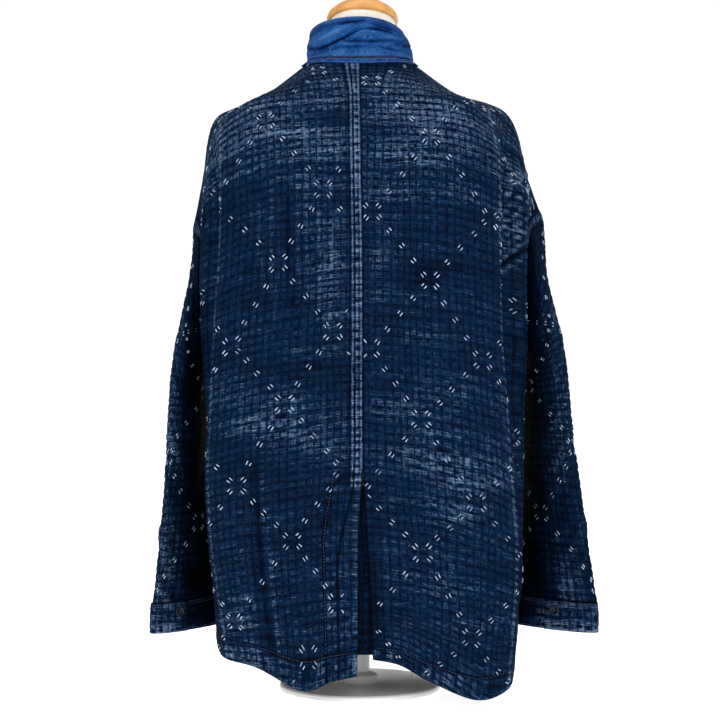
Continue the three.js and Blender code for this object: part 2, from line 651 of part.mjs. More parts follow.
// ---------------------------------------------------------------- the whole object
const group = new THREE.Group();

function add(name, geometry, look) {
  const mesh = new THREE.Mesh(geometry, new THREE.MeshStandardMaterial(look));
  mesh.name = name;
  group.add(mesh);
}

const backRows = {
  right: rowsFrom(ROW_KEYS, BACK_RIGHT),
  left: rowsFrom(ROW_KEYS, BACK_LEFT),
};
const frontRows = (sideName, widthShare) => rowsFrom(FRONT_KEYS, FRONT).map((row, r) => ({
  ...row,
  xf: row.xf * widthShare,
  xw: row.xw * widthShare,
  xg: row.xg * widthShare,
  xd: row.xd * widthShare,
  x0: -FRONT_OVERLAP,
  ze: backRows[sideName][r].ze,
  xe: backRows[sideName][r].xe,
  ye: -backRows[sideName][r].ye,
}));

const panels = {
  back_right: makePanel(1, -1, backRows.right, HEM.back_right),
  back_left: makePanel(-1, -1, backRows.left, HEM.back_left),
  front_right: makePanel(1, 1, frontRows('right', 1), HEM.front),
  front_left: makePanel(-1, 1, frontRows('left', 0.94), HEM.front),
};
for (const [name, panel] of Object.entries(panels)) {
  const columns = name === 'back_left' ? fellColumns(panel) : (panel.face < 0 ? BACK_COLUMNS : FRONT_COLUMNS);
  const outer = (i, j) => panelOuter(panel, i, j);
  const inner = (i, j) => panelInner(panel, i, j);
  add(name, wallGeometry(outer, inner, columns, PANEL_ROWS), INDIGO);
}
add('vent_underlap', underlapGeometry(panels.back_left, panels.back_right), INDIGO);

const sleeves = {
  right: makeSleeve(1, panels.back_right, panels.front_right, rowsFrom(SLEEVE_KEYS, SLEEVE_RIGHT)),
  left: makeSleeve(-1, panels.back_left, panels.front_left, rowsFrom(SLEEVE_KEYS, SLEEVE_LEFT)),
};
for (const [sideName, sleeve] of Object.entries(sleeves)) {
  add(`sleeve_${sideName}`, sleeveGeometry(sleeve), INDIGO);
  add(`cuff_${sideName}`, cuffGeometry(sleeve), INDIGO);
  const net = cuffNet(sleeve, 0);
  const seat = 1 + CUFF_LAP - CUFF_BUTTON_IN;
  const point = net(seat, CUFF_BUTTON_LEVEL);
  const tangent = net(seat + 0.01, CUFF_BUTTON_LEVEL).sub(net(seat - 0.01, CUFF_BUTTON_LEVEL));
  const normal = new THREE.Vector3(tangent.y, -tangent.x, 0).normalize().multiplyScalar(-sleeve.side);
  add(`cuff_button_${sideName}`, placeButton(CUFF_BUTTON_R, point, normal), BUTTON_DARK);
}

add('collar', collarGeometry(), COLLAR_BLUE);
add('neck_binding', bindingGeometry(panels), INDIGO);

const BUTTON_LEVELS = [9.35, 8.1, 6.6, 5, 3.4];
BUTTON_LEVELS.forEach((j, k) => {
  const panel = panels.front_left;
  const i = 0.33;
  add(`front_button_${k + 1}`, placeButton(
    FRONT_BUTTON_R,
    panelPoint(panel, i, j),
    panelNormal(panel, i, j),
  ), BUTTON_DARK);
});

add('form_torso', formGeometry(), LINEN);
add('neck_cap', capGeometry(), WOOD);
add('stand', standGeometry(), WHITE_STEEL);

export default group;
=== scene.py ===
"""Sashiko shirt jacket worn by a limbless counter-top dress form.

The jacket's pieces are thin shells on the forms of the solids they replace. A body panel is a net
of named fold lines, from the centre line out to the side seam and armhole, crossed by weft levels
from the hem up to the shoulder seam. Double gauze, creases, hems and seams are raised in the net,
and the running stitches are threads that lie on it. Lengths in the tables are millimetres.
"""

import bpy
import bmesh
import math
import numpy as np
from mathutils import Matrix, Vector


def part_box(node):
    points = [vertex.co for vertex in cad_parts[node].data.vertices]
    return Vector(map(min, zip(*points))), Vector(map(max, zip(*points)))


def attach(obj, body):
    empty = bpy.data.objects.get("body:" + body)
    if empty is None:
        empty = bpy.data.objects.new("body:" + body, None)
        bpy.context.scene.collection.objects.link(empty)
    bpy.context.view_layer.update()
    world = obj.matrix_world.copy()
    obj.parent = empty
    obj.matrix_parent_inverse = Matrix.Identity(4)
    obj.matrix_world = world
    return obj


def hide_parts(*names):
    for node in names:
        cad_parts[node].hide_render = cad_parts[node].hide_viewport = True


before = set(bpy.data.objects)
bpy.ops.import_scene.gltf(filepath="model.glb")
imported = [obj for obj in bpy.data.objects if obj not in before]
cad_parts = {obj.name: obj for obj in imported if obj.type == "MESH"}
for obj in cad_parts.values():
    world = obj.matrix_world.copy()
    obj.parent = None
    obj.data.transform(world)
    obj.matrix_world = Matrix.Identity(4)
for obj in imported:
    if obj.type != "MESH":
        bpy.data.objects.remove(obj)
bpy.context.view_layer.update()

MM = 0.001
SIDES = ((1, "right"), (-1, "left"))

# ---------------------------------------------------------------- driving sizes, millimetres
CLOTH = 1.6
BAND_CLOTH = 2.4                        # collar and cuffs, folded double
SEAM = 0.3
ARMHOLE_SEAM = 0.1
NECK_HALF_WIDTH = 65
NECK_BACK, NECK_FRONT = 72, 62          # how deep the neckline is behind and before its points
NECK_POINT_Z, NECK_BACK_Z, NECK_FRONT_Z = 781, 776, 738
FRONT_OVERLAP = 15
FELL_WIDTH = 14
VENT_TOP_Z = 262
UNDERLAP_WIDE, UNDERLAP_LOW_Z = 48, 62
COLLAR_BACK_TOP, COLLAR_FRONT_TOP = 826, 776
COLLAR_GIRTH, COLLAR_TALL = 420.0, 50
COLLAR_SLUMP_IN, COLLAR_SLUMP_DOWN = 5, 7   # how far the collar's right side has sunk
BINDING_GIRTH, BINDING_WIDTH = 440.0, 9
SLEEVE_GIRTH = 320.0
CUFF_GIRTH, CUFF_HEIGHT = 270.0, 37
# in turns round the wrist: how far the cuff overlaps itself, where its under end lies, and how far
# the button sits from its upper end; the button's level is a share of the cuff's height
CUFF_LAP = 0.14
CUFF_START = {1: 0.365, -1: 0.31}
CUFF_BUTTON_IN, CUFF_BUTTON_LEVEL = 0.04, 0.32
CUFF_GROW = 0.8
CUFF_BUTTON_R, SHIRT_BUTTON_R, BUTTON_THICK = 6, 7.5, 3.2
BUTTON_LEVELS = [9.35, 8.1, 6.6, 5, 3.4]    # weft levels of the front buttons
HEM_TURN = 25
CELL_WARP, CELL_WEFT = 8.8, 10.2        # the gauze's cells between its sunk lines
INSIDE_FADE = 0.1                       # how faded the cloth's inner side is
SHARP_CREASE = 5                        # narrower creases also get painted light on their ridges and painted shade in their troughs
LATTICE_WIDE, LATTICE_HIGH = 148, 171   # the sashiko lattice's repeat
LINK_ACROSS, LINK_DOWN = (40, 112), (50, 125)   # how far apart flowers are that a link joins
FLOWER_APART = 78
STITCH_LONG, STITCH_WIDE, STITCH_THICK, STITCH_LIFT = 5.8, 1.25, 1.1, 0.35
PAIR_HALF = 2.2                         # from the middle of a pair to each of its stitches
CAP_R = 44.5
NECK_TILT = math.radians(14)
FORM_NECK_TOP = (3, -6, 829)
POLE_R, BASE_R, BASE_THICK = 12, 100, 8

# Spacing of the points of a net, across and down the cloth.
BACK_STEP, FRONT_STEP, PANEL_INSIDE_STEP = (1.9, 1.9), (2.7, 2.7), (8.5, 9.5)
SLEEVE_STEP, SLEEVE_INSIDE_STEP = (2.6, 2.6), (2.6, 12)
CUFF_STEPS = ((1.5, 1.5), (4, 6))
COLLAR_STEPS = ((1.6, 1.6), (5, 6))
BINDING_COLUMNS, BINDING_ROWS = 281, (9, 2)

# Flat cut of each sheet, in metres. A panel's neck, shoulder and armhole take part of its cut.
BACK_CUT, FRONT_CUT, PANEL_SHARE = (0.345, 0.77), (0.325, 0.74), 0.87
SLEEVE_CUT, SLEEVE_AREA = (0.33, 0.44), 0.128
CUFF_CUT, COLLAR_CUT, UNDERLAP_CUT = (0.29, 0.038), (0.43, 0.05), (0.048, 0.2)
BINDING_CUT, BINDING_AREA = (0.4, 0.01), 0.0028

# ---------------------------------------------------------------- body panel tables
LINES = ["c", "n", "m", "b", "f", "w", "g", "d", "e"]
LINE_SHARE = {"n": 0.2, "m": 0.42, "b": 0.76}
DROP_SHARE = [0, 0, 0.01, 0.06, 0.2, 0.32, 0.47, 0.74, 1]
UNDERARM_ROW, TOP_ROW, EDGE = 6, 10, 8
ROW_KEYS = "z ze x0 yc yb xf yf xw yw xg yg xd yd xe ye".split()
BACK_RIGHT = [
    [57, 75, 15, -127, -131, 176, -112, 186, -75, 189, -48, 186, -22, 180, 0],
    [125, 118, 13, -127, -130, 184, -112, 191, -75, 190, -48, 184, -22, 176, 0],
    [205, 190, 8, -125, -128, 184, -112, 190, -78, 192, -50, 182, -22, 172, 0],
    [285, 262, 3.3, -123, -126, 180, -112, 184, -80, 194, -50, 180, -22, 168, 0],
    [365, 330, 3.3, -121, -124, 175, -113, 174, -80, 195, -50, 180, -22, 164, 0],
    [455, 395, 3.3, -120, -122, 169, -113, 166, -78, 202, -50, 190, -20, 163, 0],
    [545, 468, 3, -119, -120, 167, -112, 164, -76, 204, -52, 188, -24, 168, 0],
    [610, 520, 2, -116, -117, 167, -108, 165, -72, 204, -54, 196, -34, 199, -16],
    [670, 560, 1, -108, -108, 166, -95, 168, -66, 203, -50, 204, -36, 209, -22],
    [732, 573, 0, -88, -80, 158, -64, 174, -46, 198, -36, 207, -29, 213, -20],
]
BACK_LEFT = [
    [38, 75, 3, -131, -122, 158, -106, 170, -75, 174, -46, 172, -22, 168, 0],
    [125, 118, 2.5, -130, -120, 169, -106, 176, -75, 178, -46, 174, -22, 166, 0],
    [205, 190, 2, -128, -119, 177, -107, 181, -77, 183, -47, 174, -22, 163, 0],
    [285, 262, -3, -125, -120, 181, -108, 183, -78, 185, -48, 172, -22, 160, 0],
    [365, 330, -3, -122, -121, 178, -110, 177, -78, 189, -48, 174, -22, 157, 0],
    [455, 395, -3, -120, -121, 173, -111, 168, -77, 194.5, -50, 182, -22, 156, 0],
    [540, 460, -2.7, -119, -120, 168, -110, 163, -75, 196.5, -52, 180, -24, 160, 0],
    [605, 512, -1.7, -116, -117, 166, -107, 162, -70, 194, -54, 187, -34, 189, -16],
    [668, 552, -0.7, -108, -108, 168, -94, 168, -64, 191, -50, 192, -36, 196, -22],
    [730, 563, 0.3, -88, -80, 170, -62, 178, -44, 187, -34, 194, -28, 200, -20],
]
FRONT_KEYS = "z yc yb xf yf xw yw xg yg xd yd".split()
FRONT = [
    [48, 124, 119, 170, 96, 179, 68, 182, 44, 182, 20],
    [120, 123, 118, 174, 96, 180, 68, 181, 44, 179, 20],
    [200, 121, 116, 173, 96, 178, 68, 180, 44, 176, 20],
    [280, 118, 114, 170, 96, 173, 68, 180, 44, 173, 20],
    [360, 115, 112, 167, 95, 168, 68, 181, 44, 171, 20],
    [445, 112, 110, 164, 94, 163, 67, 183, 44, 172, 20],
    [530, 110, 109, 162, 92, 160, 64, 186, 45, 178, 22],
    [590, 107, 107, 160, 88, 160, 60, 192, 46, 193, 31],
    [645, 98, 98, 158, 78, 164, 54, 196, 42, 202, 31],
    [700, 84, 80, 156, 60, 172, 42, 194, 32, 205, 26],
]
HEM = {
    1: [57, 50, 31, 10, 20, 44, 58, 68, 75],
    -1: [38, 31, 20, 46, 54, 60, 66, 71, 75],
    "front": [40, 38, 34, 36, 42, 52, 62, 70, 75],
}
SHOULDER = {
    1: [[65, 781], [118, 744], [160, 730.5], [183, 718], [197, 692], [207, 645], [230, 581]],
    -1: [[65, 781], [118, 741.5], [155, 725.5], [178, 714], [189, 690], [196, 640], [209, 570]],
}
ARMHOLE_ACROSS = [[1, 0, 0], [1, 0, 0], [1, 0, 0], [0.8, 0, -0.6], [0.25, 0, -0.97]]
ARMHOLE_OUT = [[0, 0, -1], [0, 0.8, -0.6], [0, 1, 0], [0.5, 0.8, 0.3], [0.97, 0, 0.25]]

SLEEVE_KEYS = "z zu xo a b turn yc own".split()
SLEEVES = {
    1: [
        [532, 450, 239, 72, 15, 8, 6, 0.35],
        [474, 428, 245, 78, 16, 9, 8, 0.8],
        [410, 392, 252, 78, 17, 13, 11, 1],
        [325, 325, 260, 75, 17, 18, 12, 1],
        [250, 250, 270, 71, 16, 24, 10, 1],
        [190, 190, 279, 68, 15.5, 31, 8, 1],
        [140, 140, 287, 66, 15, 39, 5, 1],
        [113, 113, 291, 64, 15, 45, 2, 1],
    ],
    -1: [
        [522, 442, 220, 72, 15, 6, 6, 0.35],
        [466, 420, 225, 78, 16, 6, 8, 0.8],
        [404, 388, 231, 78, 17, 8, 11, 1],
        [325, 325, 237, 75, 17, 12, 12, 1],
        [250, 250, 241, 71, 16, 17, 10, 1],
        [190, 190, 246, 68, 15.5, 23, 8, 1],
        [140, 140, 251, 65, 15, 30, 5, 1],
        [113, 113, 254, 62, 15, 34, 2, 1],
    ],
}

# Dress form rings: z, half width right and left, half depth front and back, middle y, tilt, and the
# power of the outline.
FORM_RINGS = [
    [230, 118, 118, 84, 86, 0, 0, 0.9],
    [238, 130, 130, 92, 95, 0, 0, 0.9],
    [300, 138, 138, 97, 101, 0, 0, 0.9],
    [370, 132, 130, 91, 96, 0, 0, 0.9],
    [450, 119, 117, 83, 88, 0, 0, 0.9],
    [530, 130, 128, 91, 96, 0, 0, 0.9],
    [600, 146, 143, 90, 100, 0, 0, 0.9],
    [650, 161, 156, 78, 90, 0, 0, 0.95],
    [685, 178, 170, 58, 76, 0, 0, 1],
    [700, 184, 174, 50, 64, 0, 0, 1.15],
    [711, 179, 166, 45, 60, 0, 0, 1.35],
    [719, 171, 154, 43, 58, -1, 0, 1.5],
    [728, 155.5, 138, 43, 56, -2, 0, 1.6],
    [733, 136.5, 124, 43, 56, -4, 0, 1.6],
    [741, 110, 106, 45, 54, -8, 0, 1.4],
    [750, 86, 82, 45, 50, -13, 0, 1.3],
    [764, 60, 58, 43, 46, -19, 0, 1.1],
    [780, 46, 43, 41, 42, -18, -0.08, 1],
    [802, 44, 38, 41, 41, -13, -0.18, 1],
    [829, 44, 38, 41, 41, -6, -0.249, 1],
]

# ---------------------------------------------------------------- curves and soft fields


def through(knots, t):
    """Smooth curve through knots (K, N or 1, D), at places t (N,)."""
    knots = np.asarray(knots, float)
    ends = np.concatenate([2 * knots[:1] - knots[1:2], knots, 2 * knots[-1:] - knots[-2:-1]])
    k = np.clip(np.floor(t).astype(int), 0, len(knots) - 2)
    s = (t - k)[:, None]
    n = np.arange(len(t)) if knots.shape[1] > 1 else np.zeros(len(t), int)
    a, b, c, d = (ends[k + o, n] for o in range(4))
    square, cube = 2 * a - 5 * b + 4 * c - d, 3 * b - a - 3 * c + d
    return 0.5 * (2 * b + (c - a) * s + square * s**2 + cube * s**3)


def smooth(low, high, t):
    """Rises softly from 0 at low to 1 at high."""
    s = np.clip((t - low) / (high - low), 0, 1)
    return s * s * (3 - 2 * s)


def bump(distance, width):
    """1 at no distance, falling off softly to either side."""
    return np.exp(-((distance / width) ** 2))


def soft_noise(u, v, size_u, size_v, seed):
    """Smooth value noise from -1 to 1, with patches about size_u by size_v."""
    table = np.random.RandomState(seed).uniform(-1, 1, (97, 89))
    x, y = u / size_u + 40.5, v / size_v + 40.5
    xi, yi = np.floor(x).astype(int), np.floor(y).astype(int)
    fx, fy = smooth(0, 1, x - xi), smooth(0, 1, y - yi)
    pick = lambda a, b: table[(xi + a) % 97, (yi + b) % 89]
    low = pick(0, 0) * (1 - fx) + pick(1, 0) * fx
    high = pick(0, 1) * (1 - fx) + pick(1, 1) * fx
    return low * (1 - fy) + high * fy


def unit(v):
    return v / np.maximum(np.linalg.norm(v, axis=-1, keepdims=True), 1e-9)


def travel(points):
    """Length along a line of points, from its first to each of them."""
    return np.concatenate([[0], np.cumsum(np.linalg.norm(np.diff(points, axis=0), axis=1))])


def spread(down, across):
    """The places of a net, row by row: how far down each is, and how far across."""
    return [a.ravel() for a in np.meshgrid(down, across, indexing="ij")]


def crease_field(s, h, table):
    """Soft ridges (+) and troughs (-) in a plane: s0, h0, s1, h1, bow, width, height, in mm."""
    total = np.zeros_like(s)
    for s0, h0, s1, h1, bow, width, height in table:
        ds, dh = s1 - s0, h1 - h0
        length = math.hypot(ds, dh)
        t = ((s - s0) * ds + (h - h0) * dh) / length**2
        off = ((s - s0) * dh - (h - h0) * ds) / length - bow * 4 * t * (1 - t)
        taper = np.sqrt(np.clip(np.sin(np.pi * np.clip(t, 0, 1)), 0, 1))
        total += height * bump(off, width) * taper
    return total


# ---------------------------------------------------------------- body panels


def neckline(side, face, turn):
    depth = NECK_BACK if face < 0 else NECK_FRONT
    low = NECK_BACK_Z if face < 0 else NECK_FRONT_Z
    x, y = side * NECK_HALF_WIDTH * np.sin(turn), face * depth * np.cos(turn)
    return np.stack([x, y, low + (NECK_POINT_Z - low) * np.sin(turn) ** 2], axis=-1)


class Panel:
    """One body panel: side +1 is the wearer's right, face -1 is the back."""

    def __init__(self, side, face, rows, hem):
        self.side, self.face = side, face
        net = []
        for r, row in enumerate(rows):
            flat_y = {"c": row["yc"], "n": row["yc"], "b": row["yb"]}
            flat_y["m"] = (row["yc"] + row["yb"]) / 2
            points = []
            for k, line in enumerate(LINES):
                if line in LINE_SHARE:
                    x = row["x0"] + LINE_SHARE[line] * (row["xf"] - row["x0"])
                else:
                    x = row["x0"] if line == "c" else row["x" + line]
                y = flat_y.get(line, row.get("y" + line))
                z = hem[k] if r == 0 else row["z"] + (row["ze"] - row["z"]) * DROP_SHARE[k]
                points.append([side * x, y, z])
            net.append(points)
        self.net = np.array(net)
        self.shoulder = np.array([[side * x, 0, z] for x, z in SHOULDER[side]])[:, None]
        past_centre = FRONT_OVERLAP if face > 0 else 0.7 if side > 0 else -1
        self.start = -math.asin(past_centre / NECK_HALF_WIDTH)
        # flat lengths along the third weft level and along the blade line
        self.i_stops, self.j_stops = np.linspace(0, EDGE, 600), np.linspace(0, TOP_ROW, 600)
        self.p_stops = self.length(self.i_stops, np.full(600, 3.0))
        self.q_stops = self.length(np.full(600, 3.0), self.j_stops)

    def length(self, i, j):
        return travel(self.at(i, j))

    def at(self, i, j):
        ladder = [through(row[:, None], i) for row in self.net]
        turn = self.start + (math.pi / 2 - self.start) * i / 2
        neck = neckline(self.side, self.face, turn)
        top = np.where((i < 2)[:, None], neck, through(self.shoulder, i - 2))
        points = through(np.array(ladder + [top]), j)
        points[(i > EDGE - 1e-6) & (j < UNDERARM_ROW), 1] = 0
        if self.face > 0 and self.side > 0:
            points[:, 1] -= 3.2 * (1 - smooth(0.7, 1.6, i))
        return points

    def armhole(self, j):
        turned = np.array([self.side, self.face, 1])
        across = through(np.array(ARMHOLE_ACROSS)[:, None] * turned, j - UNDERARM_ROW)
        out = through(np.array(ARMHOLE_OUT)[:, None] * turned, j - UNDERARM_ROW)
        return unit(across), unit(out)

    def held(self, points, i, j):
        """The net's points, held back from the seams."""
        edge = i > EDGE - 1e-6
        sewn = edge & (j >= UNDERARM_ROW)
        across, _ = self.armhole(np.maximum(j, UNDERARM_ROW))
        points = points.copy()
        points[sewn] -= across[sewn] * ARMHOLE_SEAM / 2
        points[edge | ((j > TOP_ROW - 1e-6) & (i >= 2)), 1] += self.face * SEAM / 2
        return points

    def inner(self, points, normals, i, j):
        """The wall's other side, moved in straight along each seam so that walls never cross."""
        edge = i > EDGE - 1e-6
        sewn = edge & (j >= UNDERARM_ROW)
        inward = -normals
        along_seam = (edge & ~sewn) | ((j > TOP_ROW - 1e-6) & (i >= 2))
        inward[along_seam, 1] = 0
        inward[i < 1e-6, 0] = 0
        across, out = self.armhole(np.maximum(j, UNDERARM_ROW))
        seam_in = -unit(out + across * 0.6)
        inward[sewn] = seam_in[sewn]
        return points + unit(inward) * CLOTH


def net_normals(points, columns, rows, outward, ring=False):
    """Normals of a net's points; outward is 1, or -1 where the net runs the other way round."""
    grid = points.reshape(rows, columns, 3)
    if ring:
        wrapped = np.concatenate([grid[:, -2:-1], grid, grid[:, 1:2]], axis=1)
        along_u = wrapped[:, 2:] - wrapped[:, :-2]
    else:
        along_u = np.gradient(grid, axis=1)
    along_v = np.gradient(grid, axis=0)
    return unit(np.cross(along_u, along_v)).reshape(-1, 3) * outward


# ---------------------------------------------------------------- gauze


def gauze_places(p, q, seed, sag=0.0):
    """Where a point lies among the gauze's sunk lines: whole numbers are on a line.

    sag is how far the weft has slipped down its warp there, in mm."""
    q = q + sag
    warp = p / CELL_WARP + 0.5 * soft_noise(p, q * 0, 26, 10, seed)
    weft = q / CELL_WEFT + 0.6 * soft_noise(q, p * 0, 30, 10, seed + 2)
    warp = warp + 0.28 * soft_noise(p, q, 40, 70, seed + 1)
    return warp, weft + 0.3 * soft_noise(p, q, 60, 50, seed + 3)


def gauze_relief(warp, weft, p, q, seed):
    """Height of the double gauze: puffed cells between sunk lines of uneven strength, in mm."""
    line = lambda place, cell: bump(np.abs(place - np.round(place)) * cell, 1.3)
    warp_depth = 0.6 + 0.4 * soft_noise(np.round(warp) * 50, q, 50, 35, seed + 4)
    weft_depth = 0.6 + 0.4 * soft_noise(p, np.round(weft) * 50, 30, 50, seed + 5)
    warp_line, weft_line = line(warp, CELL_WARP) * warp_depth, line(weft, CELL_WEFT) * weft_depth
    puff = np.sqrt(np.abs(np.sin(np.pi * warp) * np.sin(np.pi * weft)))
    crumb = 0.16 * soft_noise(p, q, 3.2, 4.2, seed + 6)
    return 0.45 * puff - 0.85 * np.maximum(warp_line, weft_line) + crumb


def drape(p, q, seed):
    """Low uneven swells and long soft folds of hanging cloth, in mm."""
    swell = 1.6 * soft_noise(p, q, 70, 110, seed + 7) + 0.9 * soft_noise(p, q, 28, 90, seed + 8)
    return swell + 0.6 * soft_noise(p, q, 60, 16, seed + 9)


# ---------------------------------------------------------------- building cloth


class Piece:
    """A finished cloth piece: its outer net, kept for what is sewn on it."""

    def __init__(self, obj, outer, normals, p_axis, q_axis):
        self.obj = obj
        shape = (len(q_axis), len(p_axis), 3)
        self.outer, self.normals = outer.reshape(shape), normals.reshape(shape)
        self.p_axis, self.q_axis = p_axis, q_axis

    def sample(self, p, q):
        """Surface points and normals at flat places p, q (mm)."""
        def place(axis, value):
            x = np.interp(value, axis, np.arange(len(axis)))
            k = np.clip(np.floor(x).astype(int), 0, len(axis) - 2)
            return k, (x - k)[..., None]

        (a, s), (b, t) = place(self.p_axis, p), place(self.q_axis, q)
        mix = lambda g: ((g[b, a] * (1 - s) + g[b, a + 1] * s) * (1 - t)
                         + (g[b + 1, a] * (1 - s) + g[b + 1, a + 1] * s) * t)
        return mix(self.outer), unit(mix(self.normals))


def only(kind, geometry):
    return [g for g in geometry if isinstance(g, kind)]


def open_edges(bm):
    return [e for e in bm.edges if e.is_boundary]


def shell(name, outer, inner, size, coarse, flat, weave, fade_and_painted_light, ring=False):
    """A closed thin shell between a fine outer net and a coarse inner one, both made from grids.

    flat is each outer point's place on the cut cloth in mm, and weave its place among the gauze's
    lines. On a ring the first and last columns are one."""
    (columns, rows), (coarse_columns, coarse_rows) = size, coarse
    cloth_places, weave_places = np.stack(flat, axis=1) * MM, np.stack(weave, axis=1)
    bm = bmesh.new()
    cloth_uv, weave_uv = bm.loops.layers.uv.new("cloth"), bm.loops.layers.uv.new("weave")
    # the cloth's fade, with painted light on ridges and crests and painted shade in folds, grooves
    # and recesses
    fade_and_painted_light_layer = bm.verts.layers.float.new("fade_and_painted_light")
    bmesh.ops.create_grid(bm, x_segments=columns - 1, y_segments=rows - 1, size=1)
    fine = list(bm.verts)
    for vert, place, worn_and_painted_light in zip(fine, outer * MM, fade_and_painted_light):
        vert.co = place
        vert[fade_and_painted_light_layer] = worn_and_painted_light
    for face in bm.faces:
        for loop in face.loops:
            k = loop.vert.index
            loop[cloth_uv].uv = cloth_places[k]
            loop[weave_uv].uv = weave_places[k]
    bmesh.ops.create_grid(bm, x_segments=coarse_columns - 1, y_segments=coarse_rows - 1, size=1)
    bm.verts.ensure_lookup_table()
    hidden = bm.verts[len(fine):]
    for vert, place in zip(hidden, inner * MM):
        vert.co = place
        vert[fade_and_painted_light_layer] = INSIDE_FADE
    if ring:
        weld = {}
        for verts, wide in ((fine, columns), (hidden, coarse_columns)):
            weld.update({verts[k + wide - 1]: verts[k] for k in range(0, len(verts), wide)})
        bmesh.ops.weld_verts(bm, targetmap=weld)
        partner = {}
        for k in range(columns - 1):
            partner[fine[k]] = hidden[k]
            partner[fine[(rows - 1) * columns + k]] = hidden[(coarse_rows - 1) * columns + k]
        rims = [e for e in open_edges(bm) if e.verts[0] in partner]
        weld = {}
        for vert in only(bmesh.types.BMVert, bmesh.ops.extrude_edge_only(bm, edges=rims)["geom"]):
            ends = (e.other_vert(vert) for e in vert.link_edges)
            weld[vert] = partner[next(end for end in ends if end in partner)]
        bmesh.ops.weld_verts(bm, targetmap=weld)
    else:
        bmesh.ops.bridge_loops(bm, edges=open_edges(bm))
    bmesh.ops.recalc_face_normals(bm, faces=bm.faces)
    if bm.calc_volume(signed=True) < 0:
        bmesh.ops.reverse_faces(bm, faces=bm.faces)
    return finish_piece(name, bm)


def finish_piece(name, bm, rounded=True):
    """The object of a finished bmesh, shaded smooth where it is rounded."""
    for face in bm.faces:
        face.smooth = rounded
    mesh = bpy.data.meshes.new(name)
    bm.to_mesh(mesh)
    bm.free()
    return place_object(name, mesh)


def place_object(name, data):
    obj = bpy.data.objects.new(name, data)
    bpy.context.scene.collection.objects.link(obj)
    return obj


def dress(obj, material, slot, *nodes):
    """Gives a piece its material, attaches it to the root, and hides the CAD nodes it stands for.
    """
    obj.data.materials.append(material)
    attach(obj, "root")
    if nodes:
        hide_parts(*nodes)


def hang(obj, material, slot, node, flat, rests_on, **area):
    """Dresses a sheet of cloth as its node; what it was cut to, what it hangs on and its area are
    not used.
    """
    dress(obj, material, slot, node)


def weft_sag(p, z, table):
    """The weft slips down towards the side: table of z and the drop 150 mm out from the centre."""
    heights, drops = np.array(table, float).T
    return np.interp(z, heights, drops) * (np.clip(p, 0, 190) / 150) ** 1.4


